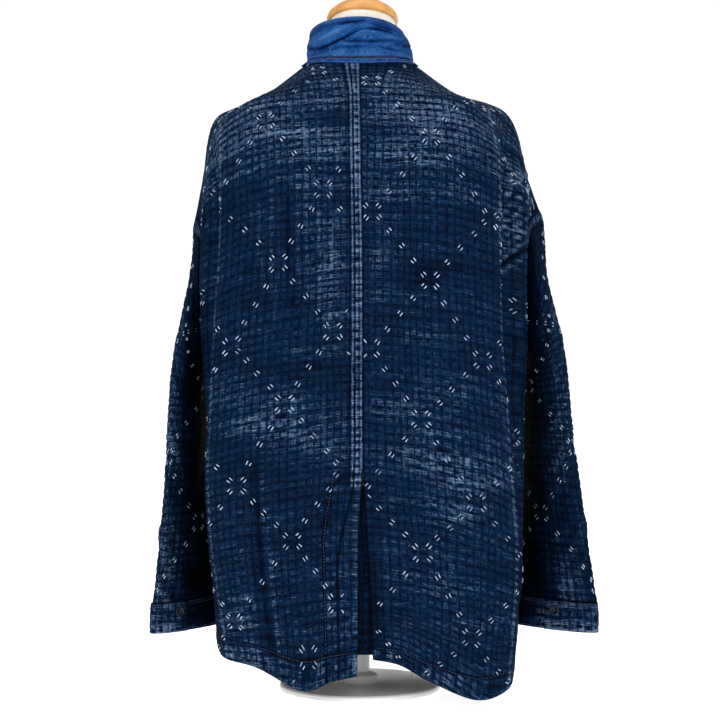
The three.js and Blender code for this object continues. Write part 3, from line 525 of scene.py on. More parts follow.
def body_panel(name, panel, spacing, creases, seed, fade_and_painted_light_zones, sag):
    """A body panel with its folds, creases, gauze, hem and seams."""
    p_end, q_end = panel.p_stops[-1], panel.q_stops[-1]

    def make(step):
        p_axis = np.linspace(0, p_end, int(p_end / step[0]) + 1)
        q_axis = np.linspace(0, q_end, int(q_end / step[1]) + 1)
        q, p = spread(q_axis, p_axis)
        i = np.interp(p, panel.p_stops, panel.i_stops)
        j = np.interp(q, panel.q_stops, panel.j_stops)
        base = panel.at(i, j)
        normals = net_normals(base, len(p_axis), len(q_axis), -panel.side * panel.face)
        calm = smooth(0, 14, p) * smooth(0, 18, p_end - p) * smooth(0, 16, q)
        calm = calm * smooth(0, 26, q_end - q)
        inside = smooth(0, 10, p_end - p)
        sharp = [c for c in creases if c[5] < SHARP_CREASE]
        large = drape(p, q, seed) * calm
        large = large + crease_field(base[:, 0], base[:, 2], creases) * inside
        folds = crease_field(base[:, 0], base[:, 2], sharp) * inside
        return p_axis, q_axis, p, q, i, j, base, normals, large, folds

    coarse_p, coarse_q, p, q, i, j, base, normals, large, _ = make(PANEL_INSIDE_STEP)
    inner = panel.inner(panel.held(base, i, j) + normals * large[:, None], normals, i, j)
    p_axis, q_axis, p, q, i, j, base, normals, large, folds = make(spacing)
    warp, weft = gauze_places(p, q, seed, weft_sag(p, base[:, 2], sag))
    relief = gauze_relief(warp, weft, p, q, seed)
    # the hem is turned up: thicker, with a sunk row of stitches that puckers it
    turn_line = HEM_TURN + 1.2 * soft_noise(p, q * 0, 20, 10, seed + 20)
    in_hem = 1 - smooth(turn_line - 1, turn_line + 1, q)
    pucker = soft_noise(p, q, 4.5, 30, seed + 21) * bump(q - turn_line * 0.62, 13)
    relief = relief * (1 - 0.45 * in_hem) + 0.5 * in_hem + 0.9 * pucker
    relief -= 1.0 * bump(q - turn_line, 1.6)
    seam_fade_and_painted_light = 0
    if panel.face < 0:
        seam_relief, seam_fade_and_painted_light = felled_seam(panel, p, base[:, 2], q, seed)
        relief += seam_relief
    else:
        relief += 0.5 * (1 - smooth(29, 31, p)) - 0.7 * bump(p - 30, 1.2)
    # the body's edge is felled over the armhole
    sewn = smooth(UNDERARM_ROW - 0.4, UNDERARM_ROW + 0.4, j)
    sewn = sewn * smooth(0, 0.5, TOP_ROW + 0.4 - j)
    from_edge = p_end - p
    relief += sewn * (1.3 * bump(from_edge - 3.5, 2.8) - 0.8 * bump(from_edge - 8, 1.2))
    relief += sewn * 0.5 * soft_noise(q, p * 0, 5, 10, seed + 33) * bump(from_edge - 4, 4)
    # painted highlight on the armhole seam's ridge, painted shade along the sunk line below it
    ridge_painted_light = 0.3 * bump(from_edge - 3.5, 2.5) - 0.4 * bump(from_edge - 8, 1.3)
    seam_fade_and_painted_light = seam_fade_and_painted_light + sewn * ridge_painted_light
    quiet = smooth(0, 1.6, p_end - p) * smooth(-1, 1.5, p) * smooth(0, 2, q_end - q)
    height = large + relief * quiet
    outer = panel.held(base, i, j) + normals * height[:, None]
    final = net_normals(outer, len(p_axis), len(q_axis), -panel.side * panel.face)
    fade_and_painted_light = wear_and_painted_light(base, relief, p, q, fade_and_painted_light_zones, seed) + seam_fade_and_painted_light
    # the hem is paler; painted light and shade on its puckers, and a painted shadow line along its
    # sunk row of stitches
    fade_and_painted_light += in_hem * (0.1 + 0.26 * pucker) - 0.55 * bump(q - turn_line, 1.7)
    # painted light on the sharp creases' ridges, painted shade in their troughs
    fade_and_painted_light += 0.15 * np.clip(folds, -2, 2)
    # painted highlight and painted shade along the back's side fold
    fade_and_painted_light += fold_painted_light(i, base[:, 2]) * (panel.face < 0)
    obj = shell(
        name, outer, inner, (len(p_axis), len(q_axis)), (len(coarse_p), len(coarse_q)),
        (p, q), (warp, weft), np.clip(fade_and_painted_light, -0.5, 1),
    )
    return Piece(obj, outer, final, p_axis, q_axis)


def facing_seam(q):
    """How far from the centre the seam line of the vent's facing runs."""
    return 43 - 10 * smooth(140, 250, q)


def felled_seam(panel, p, z, q, seed):
    """The centre back seam: on the left back a felled strip, on the right a sunk edge beside it.

    Returns its height in mm and the change to its colour: paler ridges, and painted shade in its
    grooves, seam lines and sunk edges."""
    length = smooth(VENT_TOP_Z - 6, VENT_TOP_Z + 2, z)
    vent = 1 - length
    if panel.side > 0:
        edge = -0.7 * bump(p - 1, 2.2) * length + 0.5 * bump(p - 3, 3) * vent
        # painted shade beside the vent and along the sunk edge
        shaded = -0.18 * (1 - smooth(6, 22, p)) * vent * (1 - smooth(150, 250, q) * 0.4)
        return edge, shaded - 0.35 * bump(p, 1.6)
    crumple = soft_noise(q, p * 0, 4, 10, seed + 30)
    ridge = 0.9 * (1 - smooth(FELL_WIDTH - 1.2, FELL_WIDTH + 0.3, p))
    ridge += 0.5 * crumple * bump(p - 6.5, 5)
    grooves = 0.9 * bump(p - 4.4, 0.9) + 1.0 * bump(p - FELL_WIDTH - 0.4, 1.2)
    grooves += 0.6 * bump(p - 9.6, 0.9)
    # the vent's facing: its seam line and a pressed fold, both puckered
    lines = bump(p - facing_seam(q), 1.5) + 0.8 * bump(p - 26 + 19 * smooth(110, 245, q), 1.3)
    pucks = soft_noise(q, p, 5, 16, seed + 32) * bump(p - 34, 12)
    facing = 0.3 * bump(p - 1.5, 2) - 1.1 * lines + 0.8 * pucks
    uneven = 0.75 + 0.35 * crumple + 0.3 * soft_noise(q, p * 0, 60, 10, seed + 31)
    pale = 1.1 * bump(p - 2.0, 1.7) + 0.65 * bump(p - 7, 1.7) + 0.75 * bump(p - 12, 1.5)
    # painted shade in the felled strip's grooves and beside its edge
    dark = 0.45 * bump(p - 4.4, 0.9) + 0.45 * bump(p - 9.6, 0.9)
    dark += 0.4 * bump(p - FELL_WIDTH - 1, 1.3)
    worn_and_painted_light = (pale * uneven - dark) * length
    facing_worn = 0.08 * bump(p - 3, 3) + 0.05 * (1 - smooth(38, 46, p))
    # painted shade along the facing's seam line and fold, painted light and shade on its puckers
    worn_and_painted_light += vent * (facing_worn - 0.55 * lines + 0.16 * pucks)
    return (ridge - grooves) * length + facing * vent, worn_and_painted_light


def fold_painted_light(i, z):
    """The soft side fold: a painted highlight along its crests, and painted shade in its valley and
    in a band just past the crest.
    """
    low = 1 - smooth(430, 545, z)
    crest = 0.26 * bump(i - 4, 0.1) + 0.16 * bump(i - 6, 0.16) * low
    valley = 0.75 * bump(i - 7.3, 0.95) * low
    return crest - valley - 0.25 * bump(i - 4.6, 0.35) * (1 - smooth(600, 660, z))


def wear_and_painted_light(base, relief, p, q, zones, seed):
    """How faded the cloth is: raised cells paler and sunk lines given painted shade, blotches, and
    the zones given, which on the body saw more light and on the sleeves are painted light and
    shade.
    """
    fade_and_painted_light = 0.19 + 0.07 * relief + 0.09 * soft_noise(p, q, 55, 20, seed + 40)
    fade_and_painted_light += 0.05 * soft_noise(p, q, 14, 9, seed + 41) + 0.07 * soft_noise(p, q, 90, 9, seed + 42)
    rows = 0.75 + 0.6 * soft_noise(p, q, 70, 11, seed + 43)
    for x, z, wide, high, amount in zones:
        fade_and_painted_light += amount * rows * bump(base[:, 0] - x, wide) * bump(base[:, 2] - z, high)
    return fade_and_painted_light


# ---------------------------------------------------------------- sleeves and cuffs


class Sleeve:
    """Turn t = 0 is the shoulder line, 0.25 the back, 0.5 the underarm line, 0.75 the front."""

    def __init__(self, side, back, front):
        self.side, self.back, self.front = side, back, front
        self.rows = [dict(zip(SLEEVE_KEYS, row)) for row in SLEEVES[side]]
        self.j_stops = np.linspace(0, len(self.rows), 400)
        along_back = self.at(np.full(400, 0.12), self.j_stops)
        self.q_stops = travel(along_back)

    def ring(self, row, t):
        turn = math.radians(row["turn"])
        reach = math.hypot(row["a"] * math.sin(turn), row["b"] * math.cos(turn))
        angle = math.pi / 2 - 2 * math.pi * t
        wide, deep = row["a"] * np.cos(angle), row["b"] * np.sin(angle)
        x = self.side * (row["xo"] - reach + wide * math.sin(turn) + deep * math.cos(turn))
        y = row["yc"] - wide * math.cos(turn) + deep * math.sin(turn)
        z = row["z"] + (row["zu"] - row["z"]) * (1 - np.cos(2 * math.pi * t)) / 2
        return np.stack([x, y, z], axis=1)

    def root(self, t):
        """Points, across and out directions round the armhole."""
        results = []
        for panel, share in ((self.back, t / 0.5), (self.front, (1 - t) / 0.5)):
            j = np.clip(TOP_ROW - (TOP_ROW - UNDERARM_ROW) * share, UNDERARM_ROW, TOP_ROW)
            results.append((panel.at(np.full(len(t), float(EDGE)), j), *panel.armhole(j)))
        behind = (t <= 0.5)[:, None]
        return [np.where(behind, a, b) for a, b in zip(*results)]

    def at(self, t, j):
        t = np.mod(t, 1.0)
        points, across, _ = self.root(t)
        points = points + across * ARMHOLE_SEAM / 2
        ladder = [points]
        for row in self.rows:
            ring = self.ring(row, t)
            mixed = points + (ring - points) * row["own"]
            mixed[:, 2] = ring[:, 2]
            ladder.append(mixed)
        return through(np.array(ladder), j)


def sleeve_piece(name, sleeve, seed, fade_and_painted_light_zones):
    """A sleeve down to its cuff, gathered a little into it."""
    q_end = sleeve.q_stops[-1]

    def make(step):
        around = np.linspace(0, 1, int(SLEEVE_GIRTH / step[0]) + 1)
        q_axis = np.linspace(0, q_end, int(q_end / step[1]) + 1)
        q, t = spread(q_axis, around)
        j = np.interp(q, sleeve.q_stops, sleeve.j_stops)
        base = sleeve.at(t, j)
        normals = net_normals(base, len(around), len(q_axis), sleeve.side, ring=True)
        calm = smooth(0, 26, q) * smooth(0, 22, q_end - q)
        # the cloth's noise is read on a circle, so that it closes on itself
        round_u = 51 * np.sin(2 * math.pi * t) + 140
        round_v = q + 51 * np.cos(2 * math.pi * t)
        large = drape(round_u, round_v, seed) * calm
        large += crease_field(t * SLEEVE_GIRTH, q, CREASES_SLEEVE) * smooth(0, 10, q)
        return around, q_axis, t, q, j, base, normals, large, round_u, round_v

    coarse_t, coarse_q, t, q, j, base, normals, large, _, _ = make(SLEEVE_INSIDE_STEP)
    inward = -normals
    _, across, out = sleeve.root(np.mod(t, 1.0))
    first, last = j < 1e-6, j > len(sleeve.rows) - 1e-6
    inward[first] = -unit(out - across * 0.6)[first]
    inward[last, 2] = 0
    inner = base + normals * large[:, None] + unit(inward) * CLOTH
    around, q_axis, t, q, j, base, normals, large, round_u, round_v = make(SLEEVE_STEP)
    p = t * SLEEVE_GIRTH
    warp = t * round(SLEEVE_GIRTH / CELL_WARP) + 0.3 * soft_noise(round_u, round_v, 30, 60, seed)
    weft = q / CELL_WEFT + 0.5 * soft_noise(q, q * 0, 30, 10, seed + 2)
    weft += 0.3 * soft_noise(round_u, round_v, 50, 50, seed + 3)
    relief = gauze_relief(warp, weft, round_u, round_v, seed)
    quiet = smooth(0, 2, q) * smooth(0, 2, q_end - q)
    gathers = 1.1 * soft_noise(p, q * 0, 6, 10, seed + 12) * bump(q_end - q, 16)
    height = large + (relief + gathers) * quiet
    outer = base + normals * height[:, None]
    final = net_normals(outer, len(around), len(q_axis), sleeve.side, ring=True)
    fade_and_painted_light = wear_and_painted_light(base, relief, round_u, round_v, fade_and_painted_light_zones, seed) - 0.04
    # paler streaks; painted light and shade on the gathers at the cuff, and painted shade along the
    # sleeve's top under the armhole seam
    fade_and_painted_light += 0.13 * soft_noise(p, q, 5, 70, seed + 44) + 0.1 * gathers - 0.3 * bump(q, 3)
    obj = shell(
        name, outer, inner, (len(around), len(q_axis)), (len(coarse_t), len(coarse_q)),
        (p, q), (warp, weft), np.clip(fade_and_painted_light, -0.5, 1), ring=True,
    )
    return Piece(obj, outer, final, around * SLEEVE_GIRTH, q_axis)


def cuff_net(sleeve, s, j, layer):
    """A cuff's points: s turns from its under end, j down from the sleeve, layer 0 out and 1 in."""
    last = sleeve.rows[-1]
    points = np.zeros((len(s), 3))
    lap = 3.4 * smooth(0.84, 0.98, s)
    for level in np.unique(j):
        at = j == level
        row = dict(last)
        row["z"] = row["zu"] = last["z"] - SEAM - CUFF_HEIGHT * level
        row["xo"] = last["xo"] + 4 * level - 3 * level * level
        row["turn"] = last["turn"] + 4 * level
        t = CUFF_START[sleeve.side] + s[at]
        tangent = sleeve.ring(row, t + 0.004) - sleeve.ring(row, t - 0.004)
        outward = np.stack([-tangent[:, 1], tangent[:, 0], tangent[:, 0] * 0], axis=1)
        reach = (CUFF_GROW + lap[at] - layer * BAND_CLOTH)[:, None]
        points[at] = sleeve.ring(row, t) + unit(outward) * sleeve.side * reach
    return points


def cuff_piece(name, sleeve, seed):
    """A buttoned cuff: a band that overlaps itself."""
    turns = 1 + CUFF_LAP
    nets = []
    for layer, step in enumerate(CUFF_STEPS):
        s_axis = np.linspace(0, turns, int(turns * CUFF_GIRTH / step[0]) + 1)
        j_axis = np.linspace(0, 1, int(CUFF_HEIGHT / step[1]) + 1)
        j, s = spread(j_axis, s_axis)
        nets.append((s_axis, j_axis, s, j, cuff_net(sleeve, s, j, layer)))
    sizes = [(len(net[0]), len(net[1])) for net in nets]
    s_axis, j_axis, s, j, base = nets[0]
    normals = net_normals(base, *sizes[0], sleeve.side)
    p, q, p_end = s * CUFF_GIRTH, j * CUFF_HEIGHT, turns * CUFF_GIRTH
    warp, weft = gauze_places(p, q, seed)
    relief = 0.55 * gauze_relief(warp, weft, p, q, seed)
    relief -= 0.6 * (bump(q - 1.8, 0.9) + 0.7 * bump(q - 4.6, 0.9))
    relief += 0.5 * soft_noise(p, q, 5, 26, seed + 5) * bump(q - CUFF_HEIGHT + 4, 10)
    relief += 0.7 * soft_noise(p, q, 24, 3.2, seed + 6) * smooth(0.9, 1.02, s)
    quiet = smooth(0, 1.5, q) * smooth(0, 1.2, CUFF_HEIGHT - q)
    quiet = quiet * smooth(0, 2, p) * smooth(0, 2, p_end - p)
    outer = base + normals * (relief * quiet)[:, None]
    final = net_normals(outer, *sizes[0], sleeve.side)
    # paler raised cells and lower edge; painted shade in the sunk stitch rows and on the cuff's
    # inner side towards the body
    fade_and_painted_light = 0.42 + 0.18 * relief + 0.18 * soft_noise(p, q, 12, 8, seed + 7)
    fade_and_painted_light += 0.3 * bump(q - CUFF_HEIGHT, 7) - 0.6 * (1 - smooth(200, 232, abs(base[:, 0])))
    obj = shell(name, outer, nets[1][4], *sizes, (p, q), (warp, weft), np.clip(fade_and_painted_light, -0.4, 1))
    return Piece(obj, outer, final, s_axis * CUFF_GIRTH, j_axis * CUFF_HEIGHT)


# ---------------------------------------------------------------- collar and binding


def neck_round(turn):
    """Neckline points; turn runs from the centre front by the wearer's right to the centre back."""
    quarter = np.arcsin(np.sin(turn))
    ahead = (np.cos(turn) > 0)[:, None]
    return np.where(ahead, neckline(1, 1, quarter), neckline(1, -1, quarter))


def collar_net(turn, j, layer):
    """The collar's points, at j of its height, layer 0 out and 1 in."""
    base = neck_round(turn)
    backness = (1 - np.cos(turn)) / 2
    top = COLLAR_FRONT_TOP + (COLLAR_BACK_TOP - COLLAR_FRONT_TOP) * backness**0.35
    out = unit(base * [1, 1, 0])
    slump = np.maximum(np.sin(turn), 0) ** 2 * j**2
    lean = -2 - 3 * j + 2 * np.sin(np.pi * j) - COLLAR_SLUMP_IN * slump
    points = base + out * (lean - layer * BAND_CLOTH + BAND_CLOTH / 2 + 1.4)[:, None]
    foot = base[:, 2] + 0.8 + (1 - backness) ** 2
    points[:, 2] = foot + (top - foot) * j - COLLAR_SLUMP_DOWN * slump
    return points


# Creases of the collar: around from the centre back, + to the wearer's right, and up from its foot.
COLLAR_CREASES = [
    [-62, 12, 0, 34, 3, 1.8, -2.8],
    [-2, 34, 46, 33, -2, 1.7, -2.4],
    [-60, 25, -8, 43, 2, 2.6, 1.6],
    [-24, 20, 48, 24, 3, 2.2, -1.6],
    [-50, 7, 20, 12, -3, 2.2, -1.6],
    [10, 43, 58, 39, 2, 1.8, -1.6],
    [-40, 42, 8, 46, 1, 1.6, -1.3],
    [20, 28, 66, 30, 2, 2.4, 1.4],
    [22, 14, 62, 10, 2, 1.8, -1.4],
    [-90, 20, -40, 12, 2, 2.5, -1.6],
    [60, 16, 110, 26, -3, 2.6, -1.5],
    [90, 34, 150, 26, 2, 2.4, -1.3],
    [-150, 30, -80, 38, -2, 2.4, -1.4],
    [-190, 16, -120, 22, 3, 2.6, -1.2],
    [130, 12, 190, 18, -2, 2.6, -1.2],
]


def collar_piece():
    """The stand collar, open at the centre front."""
    gap = 0.03
    nets = []
    for layer, step in enumerate(COLLAR_STEPS):
        turns = np.linspace(gap, 2 * math.pi - gap, int(COLLAR_GIRTH / step[0]) + 1)
        j_axis = np.linspace(0, 1, int(COLLAR_TALL / step[1]) + 1)
        j, turn = spread(j_axis, turns)
        nets.append((turns, j_axis, turn, j, collar_net(turn, j, layer)))
    turns, j_axis, turn, j, base = nets[0]
    sizes = [(len(net[0]), len(net[1])) for net in nets]

    def outward(points):
        normals = net_normals(points, *sizes[0], 1)
        return normals * np.sign((normals * base * [1, 1, 0]).sum())

    around, q = (math.pi - turn) * COLLAR_GIRTH / (2 * math.pi), j * COLLAR_TALL
    height = crease_field(around, q, COLLAR_CREASES)
    height += 0.5 * soft_noise(around, q, 22, 6, 901) + 0.22 * soft_noise(around, q, 7, 3, 902)
    height += 0.35 * soft_noise(around, q, 60, 14, 903)
    height += 0.5 * bump(q - COLLAR_TALL, 3) - 0.5 * bump(q - 45.5, 1.1)
    height *= smooth(0, 3, q) * smooth(0, 2, COLLAR_TALL - q + 1.2)
    outer = base + outward(base) * height[:, None]
    # painted light on the collar's ridges and rolled top, painted shade in its crease troughs and
    # stitch groove
    fade_and_painted_light = 0.46 + 0.3 * height + 0.14 * soft_noise(around, q, 9, 5, 904)
    fade_and_painted_light += 0.12 * soft_noise(around, q, 40, 16, 905)
    obj = shell(
        "collar_cloth", outer, nets[1][4], *sizes,
        (around, q), (around * MM, q * MM), np.clip(fade_and_painted_light, -0.2, 1),
    )
    p_axis = (turns - gap) * COLLAR_GIRTH / (2 * math.pi)
    return Piece(obj, outer, outward(outer), p_axis, j_axis * COLLAR_TALL)


def binding_net(panels, places, share):
    """Points on the cloth under the strip, at a share of its width.

    places run from 0 to 4: left front, left back, right back, right front."""
    points = np.zeros((len(places), 3))
    for part, (side, face) in enumerate(((-1, 1), (-1, -1), (1, -1), (1, 1))):
        pick = (places >= part) & ((places < part + 1) | (part == 3))
        local = places[pick] - part
        i = 2 * local if part in (0, 2) else 2 * (1 - local)
        if side > 0 and face > 0:
            i = np.maximum(i, 0.42)
        panel, wide = panels[side, face], share[pick] * BINDING_WIDTH
        at_point = smooth(1.35, 2, i)
        along = wide / 64.6 * at_point
        levels = np.linspace(TOP_ROW, TOP_ROW - 0.6, 25)
        stops = np.array([panel.at(i, np.full(len(i), level)) for level in levels])
        steps = np.linalg.norm(np.diff(stops, axis=0), axis=2)
        run = np.concatenate([np.zeros((1, len(i))), np.cumsum(steps, axis=0)])
        down = wide * np.sqrt(np.clip(1 - at_point**2, 0, 1))
        j = np.array([np.interp(d, run[:, k], levels) for k, d in enumerate(down)])
        points[pick] = panel.at(i + along, j)
    return points


def binding_piece(panels):
    """The strip that binds the neckline, from the left front round to the right front."""
    nets = []
    for levels in BINDING_ROWS:
        places, shares = np.linspace(0, 3.79, BINDING_COLUMNS), np.linspace(0.3, 1, levels)
        share, place = spread(shares, places)
        points = binding_net(panels, place, share)
        normals = net_normals(points, BINDING_COLUMNS, levels, 1)
        normals *= np.sign(normals[:, 2:3] + 1e-9)
        lap = 1.8 * np.exp(-((place / 0.5) ** 2)) + 1.8 * np.exp(-(((4 - place) / 0.6) ** 2))
        nets.append((places, shares, place, share, points, normals, lap[:, None]))
    (places, shares, place, share, base, normals, lap), low = nets[0], nets[1]
    p, q = place * BINDING_GIRTH / 4, share * BINDING_WIDTH
    puck = 0.35 * soft_noise(p, q, 3.5, 9, 911)
    puck = puck - 0.5 * bump(q - 1.8, 0.7) - 0.35 * bump(q - 7.4, 0.7)
    quiet = puck * smooth(0, 0.6, q) * smooth(0, 0.6, BINDING_WIDTH - q)
    outer = base + normals * (lap + (2.3 + quiet)[:, None])
    inner = low[4] + low[5] * (low[6] + 1.0)
    # painted light and shade on the puckers, painted shade in the stitch grooves
    fade_and_painted_light = 0.42 + 0.25 * puck + 0.14 * soft_noise(p, q, 9, 4, 912)
    obj = shell(
        "neck_binding_cloth", outer, inner, *((BINDING_COLUMNS, rows) for rows in BINDING_ROWS),
        (p, q), (p / CELL_WARP, q / CELL_WEFT), np.clip(fade_and_painted_light, 0, 1),
    )
    return Piece(obj, outer, normals, places * BINDING_GIRTH / 4, shares * BINDING_WIDTH)


# ---------------------------------------------------------------- threads


def thread_template(sides, levels):
    """A short closed thread along Z from -1 to 1, radius 1, tapered at both ends."""
    bm = bmesh.new()
    bmesh.ops.create_uvsphere(bm, u_segments=sides, v_segments=levels, radius=1)
    bm.verts.index_update()
    points = np.array([v.co[:] for v in bm.verts])
    faces = [[v.index for v in f.verts] for f in bm.faces]
    bm.free()
    radius = np.hypot(points[:, 0], points[:, 1])
    full = np.where(np.abs(points[:, 2]) < 0.999, np.clip(radius, 0, 1) ** 0.35, 0)
    scale = full / np.maximum(radius, 1e-9)
    points[:, :2] *= scale[:, None]
    return points, faces


def lay_threads(name, piece_rows, template, wide, thick, lift):
    """Joins threads into one mesh that lies on the cloth.

    Each of piece_rows is a piece, its threads' middles p, q, their half steps dp, dq and how bright
    they are."""
    points, faces = template
    count = len(points)
    all_points, all_bright = [], []
    for piece, p, q, dp, dq, bright in piece_rows:
        t = points[:, 2][None]
        along_p, along_q = p[:, None] + dp[:, None] * t, q[:, None] + dq[:, None] * t
        place, normal = piece.sample(along_p, along_q)
        ahead, _ = piece.sample(p + dp, q + dq)
        behind, _ = piece.sample(p - dp, q - dq)
        run = unit(ahead - behind)[:, None]
        across = unit(np.cross(run, normal))
        dip = lift - 0.75 * np.abs(t) ** 3
        place = place + across * (points[:, 0] * wide / 2)[None, :, None]
        place = place + normal * (points[:, 1][None] * thick / 2 + dip)[..., None]
        all_points.append(place.reshape(-1, 3))
        all_bright.append(np.repeat(bright, count))
    verts = np.concatenate(all_points) * MM
    number = len(verts) // count
    mesh = bpy.data.meshes.new(name)
    every = [[v + k * count for v in face] for k in range(number) for face in faces]
    mesh.from_pydata(verts.tolist(), [], every)
    layer = mesh.attributes.new("bright", "FLOAT", "POINT")
    layer.data.foreach_set("value", np.concatenate(all_bright).astype(np.float32))
    mesh.shade_smooth()
    bm = bmesh.new()
    bm.from_mesh(mesh)
    bmesh.ops.recalc_face_normals(bm, faces=bm.faces)
    bm.to_mesh(mesh)
    bm.free()
    return place_object(name, mesh)


# Sashiko flowers on the backs, as they hang: x, z. They drift as the cloth does.
FLOWERS_RIGHT = [
    (14, 747), (14, 586), (13, 423), (85, 676), (83, 503), (73, 340), (73, 183),
    (154, 577), (145, 409), (137, 243), (131, 83),
]
FLOWERS_LEFT = [
    (-44, 612), (-32, 443), (-20, 282), (-26, 124), (-113, 695), (-97, 525), (-89, 358),
    (-79, 196), (-151, 427), (-146, 262), (-60, 60), (-148, 100),
]


def flower(x, z, jitter):
    """Four pairs of stitches that point away from the flower's middle: x, z, run x, run z."""
    rows = []
    for sx in (-1, 1):
        for sz in (-1, 1):
            cx, cz = x + sx * 8.3 + jitter(0.5), z + sz * 7 + jitter(0.5)
            angle = math.atan2(sz * (1.05 + jitter(0.15)), sx)
            rows += pair(cx, cz, angle, jitter)
    return rows


def pair(x, z, angle, jitter):
    """Two stitches side by side."""
    run = (math.cos(angle), math.sin(angle))
    half = STITCH_LONG / 2
    return [
        (x - run[1] * s * PAIR_HALF, z + run[0] * s * PAIR_HALF,
         run[0] * half * (1 + jitter(0.18)), run[1] * half * (1 + jitter(0.18)))
        for s in (-1, 1)
    ]


def lattice(flowers, jitter):
    """The flowers and the three pairs of stitches that link each to its slanting neighbours."""
    rows = []
    for k, (x, z) in enumerate(flowers):
        rows += flower(x, z, jitter)
        for other_x, other_z in flowers[k + 1:]:
            dx, dz = other_x - x, other_z - z
            beside = LINK_ACROSS[0] < abs(dx) < LINK_ACROSS[1]
            if beside and LINK_DOWN[0] < abs(dz) < LINK_DOWN[1]:
                for share in (0.28, 0.5, 0.72):
                    place = (x + dx * share + jitter(1.2), z + dz * share + jitter(1.2))
                    rows += pair(*place, math.atan2(dz, dx) + jitter(0.12), jitter)
    return rows


def flat_flowers(start, wide, columns, rows):
    """Flowers of the plain lattice: every other crossing of lines half a repeat apart."""
    return [
        (start + a * wide / 2, 20 + b * LATTICE_HIGH / 2)
        for a in range(*columns) for b in range(*rows) if (a + b) % 2 == 0
    ]


def whole_lattice(seeds, p_end, q_end):
    """Adds flowers half a repeat away from those placed, until the lattice covers the piece."""
    flowers = list(seeds)
    for p, q in flowers:
        for sp in (-1, 1):
            for sq in (-1, 1):
                new = (p + sp * LATTICE_WIDE / 2, q + sq * LATTICE_HIGH / 2)
                inside = -80 < new[0] < p_end + 80 and -90 < new[1] < q_end + 90
                if inside and all(math.dist(new, flower) > FLOWER_APART for flower in flowers):
                    flowers.append(new)
    return flowers


def sashiko_rows(piece, flowers, seed, low_p):
    """Stitch rows of a lattice on one piece, kept clear of its edges."""
    random = np.random.RandomState(seed)
    jitter = lambda size: random.uniform(-size, size)
    p, q, dp, dq = np.array(lattice(flowers, jitter)).T
    keep = (p > low_p) & (p < piece.p_axis[-1] - 4) & (q > 5) & (q < piece.q_axis[-1] - 5)
    p, q, dp, dq = p[keep], q[keep], dp[keep], dq[keep]
    bright = 0.75 + 0.3 * soft_noise(p, q, 40, 60, seed) + random.uniform(-0.3, 0.2, len(p))
    return piece, p, q, dp, dq, np.clip(bright, 0.1, 1)


def stitch_line(piece, p, q, pitch, share, bright):
    """Running stitches along a line of flat places; share is how much of it is thread."""
    random = np.random.RandomState(3)
    p, q = np.broadcast_arrays(p, q)
    run = travel(np.stack([p, q], axis=1))
    middles = np.arange(pitch / 2, run[-1] - pitch / 2, pitch) + random.uniform(-0.1, 0.1)
    at = lambda s: (np.interp(s, run, p), np.interp(s, run, q))
    (a, b), (c, d) = at(middles - pitch * share / 2), at(middles + pitch * share / 2)
    shift = random.uniform(-0.2, 0.2, len(middles))
    level = np.clip(bright + random.uniform(-0.15, 0.15, len(middles)), 0, 1)
    return piece, (a + c) / 2 + shift, (b + d) / 2 + shift, (c - a) / 2, (d - b) / 2, level


def find_places(piece, x, z, p_most):
    """Flat places of points seen at (x, z) on the side of a back that faces out."""
    columns = piece.p_axis < p_most
    grid = piece.outer[:, columns]
    places = []
    for tx, tz in zip(x, z):
        miss = np.hypot(grid[:, :, 0] - tx, grid[:, :, 2] - tz)
        row, column = np.unravel_index(miss.argmin(), miss.shape)
        places.append((piece.p_axis[column], piece.q_axis[row]))
    return places


# ---------------------------------------------------------------- materials


def linear(r, g, b):
    """Colour sockets take linear light; the colours here are named as a screen shows them."""
    light = [((c / 255 + 0.055) / 1.055) ** 2.4 if c > 10 else c / 255 / 12.92 for c in (r, g, b)]
    return (*light, 1.0)


def add(tree, kind, inputs=None, **settings):
    """A node with its settings, and its inputs joined to sockets or set to values."""
    node = tree.nodes.new(kind)
    for key, value in settings.items():
        setattr(node, key, value)
    for key, value in (inputs or {}).items():
        socket = node.inputs[key]
        if isinstance(value, bpy.types.NodeSocket):
            tree.links.new(value, socket)
        else:
            socket.default_value = value
    return node


def maths(tree, operation, *values, clamp=False):
    inputs = dict(enumerate(values))
    return add(tree, "ShaderNodeMath", inputs, operation=operation, use_clamp=clamp).outputs[0]


def ramp(tree, value, low, high, **settings):
    """0 where the value is low, 1 where it is high."""
    return add(tree, "ShaderNodeMapRange", {"Value": value, 1: low, 2: high}, **settings).outputs[0]


def mixed(tree, factor, a, b):
    return add(tree, "ShaderNodeMix", {0: factor, 6: a, 7: b}, data_type="RGBA").outputs[2]


def on_object(tree):
    return add(tree, "ShaderNodeTexCoord").outputs["Object"]


def noise(tree, vector, scale, detail=2.0, roughness=0.5, stretch=(1, 1, 1)):
    place = add(tree, "ShaderNodeMapping", {"Vector": vector, "Scale": stretch}).outputs[0]
    inputs = {"Vector": place, "Scale": scale, "Detail": detail, "Roughness": roughness}
    return add(tree, "ShaderNodeTexNoise", inputs).outputs[0]


COLOUR, NUMBER, PLACE = "NodeSocketColor", "NodeSocketFloat", "NodeSocketVector"
GAUZE_INPUTS = {
    "Cells": PLACE, "Fade": NUMBER,
    "Deep": COLOUR, "Middle": COLOUR, "Faded": COLOUR, "Sunk": NUMBER,
}
GAUZE_OUTPUTS = {"Colour": COLOUR, "Height": NUMBER, "Roughness": NUMBER}
PAINTED_FOLD_SHADE = (0.0006, 0.0011, 0.003, 1)      # painted shade: the near-black colour put at the bottom of folds and in recesses


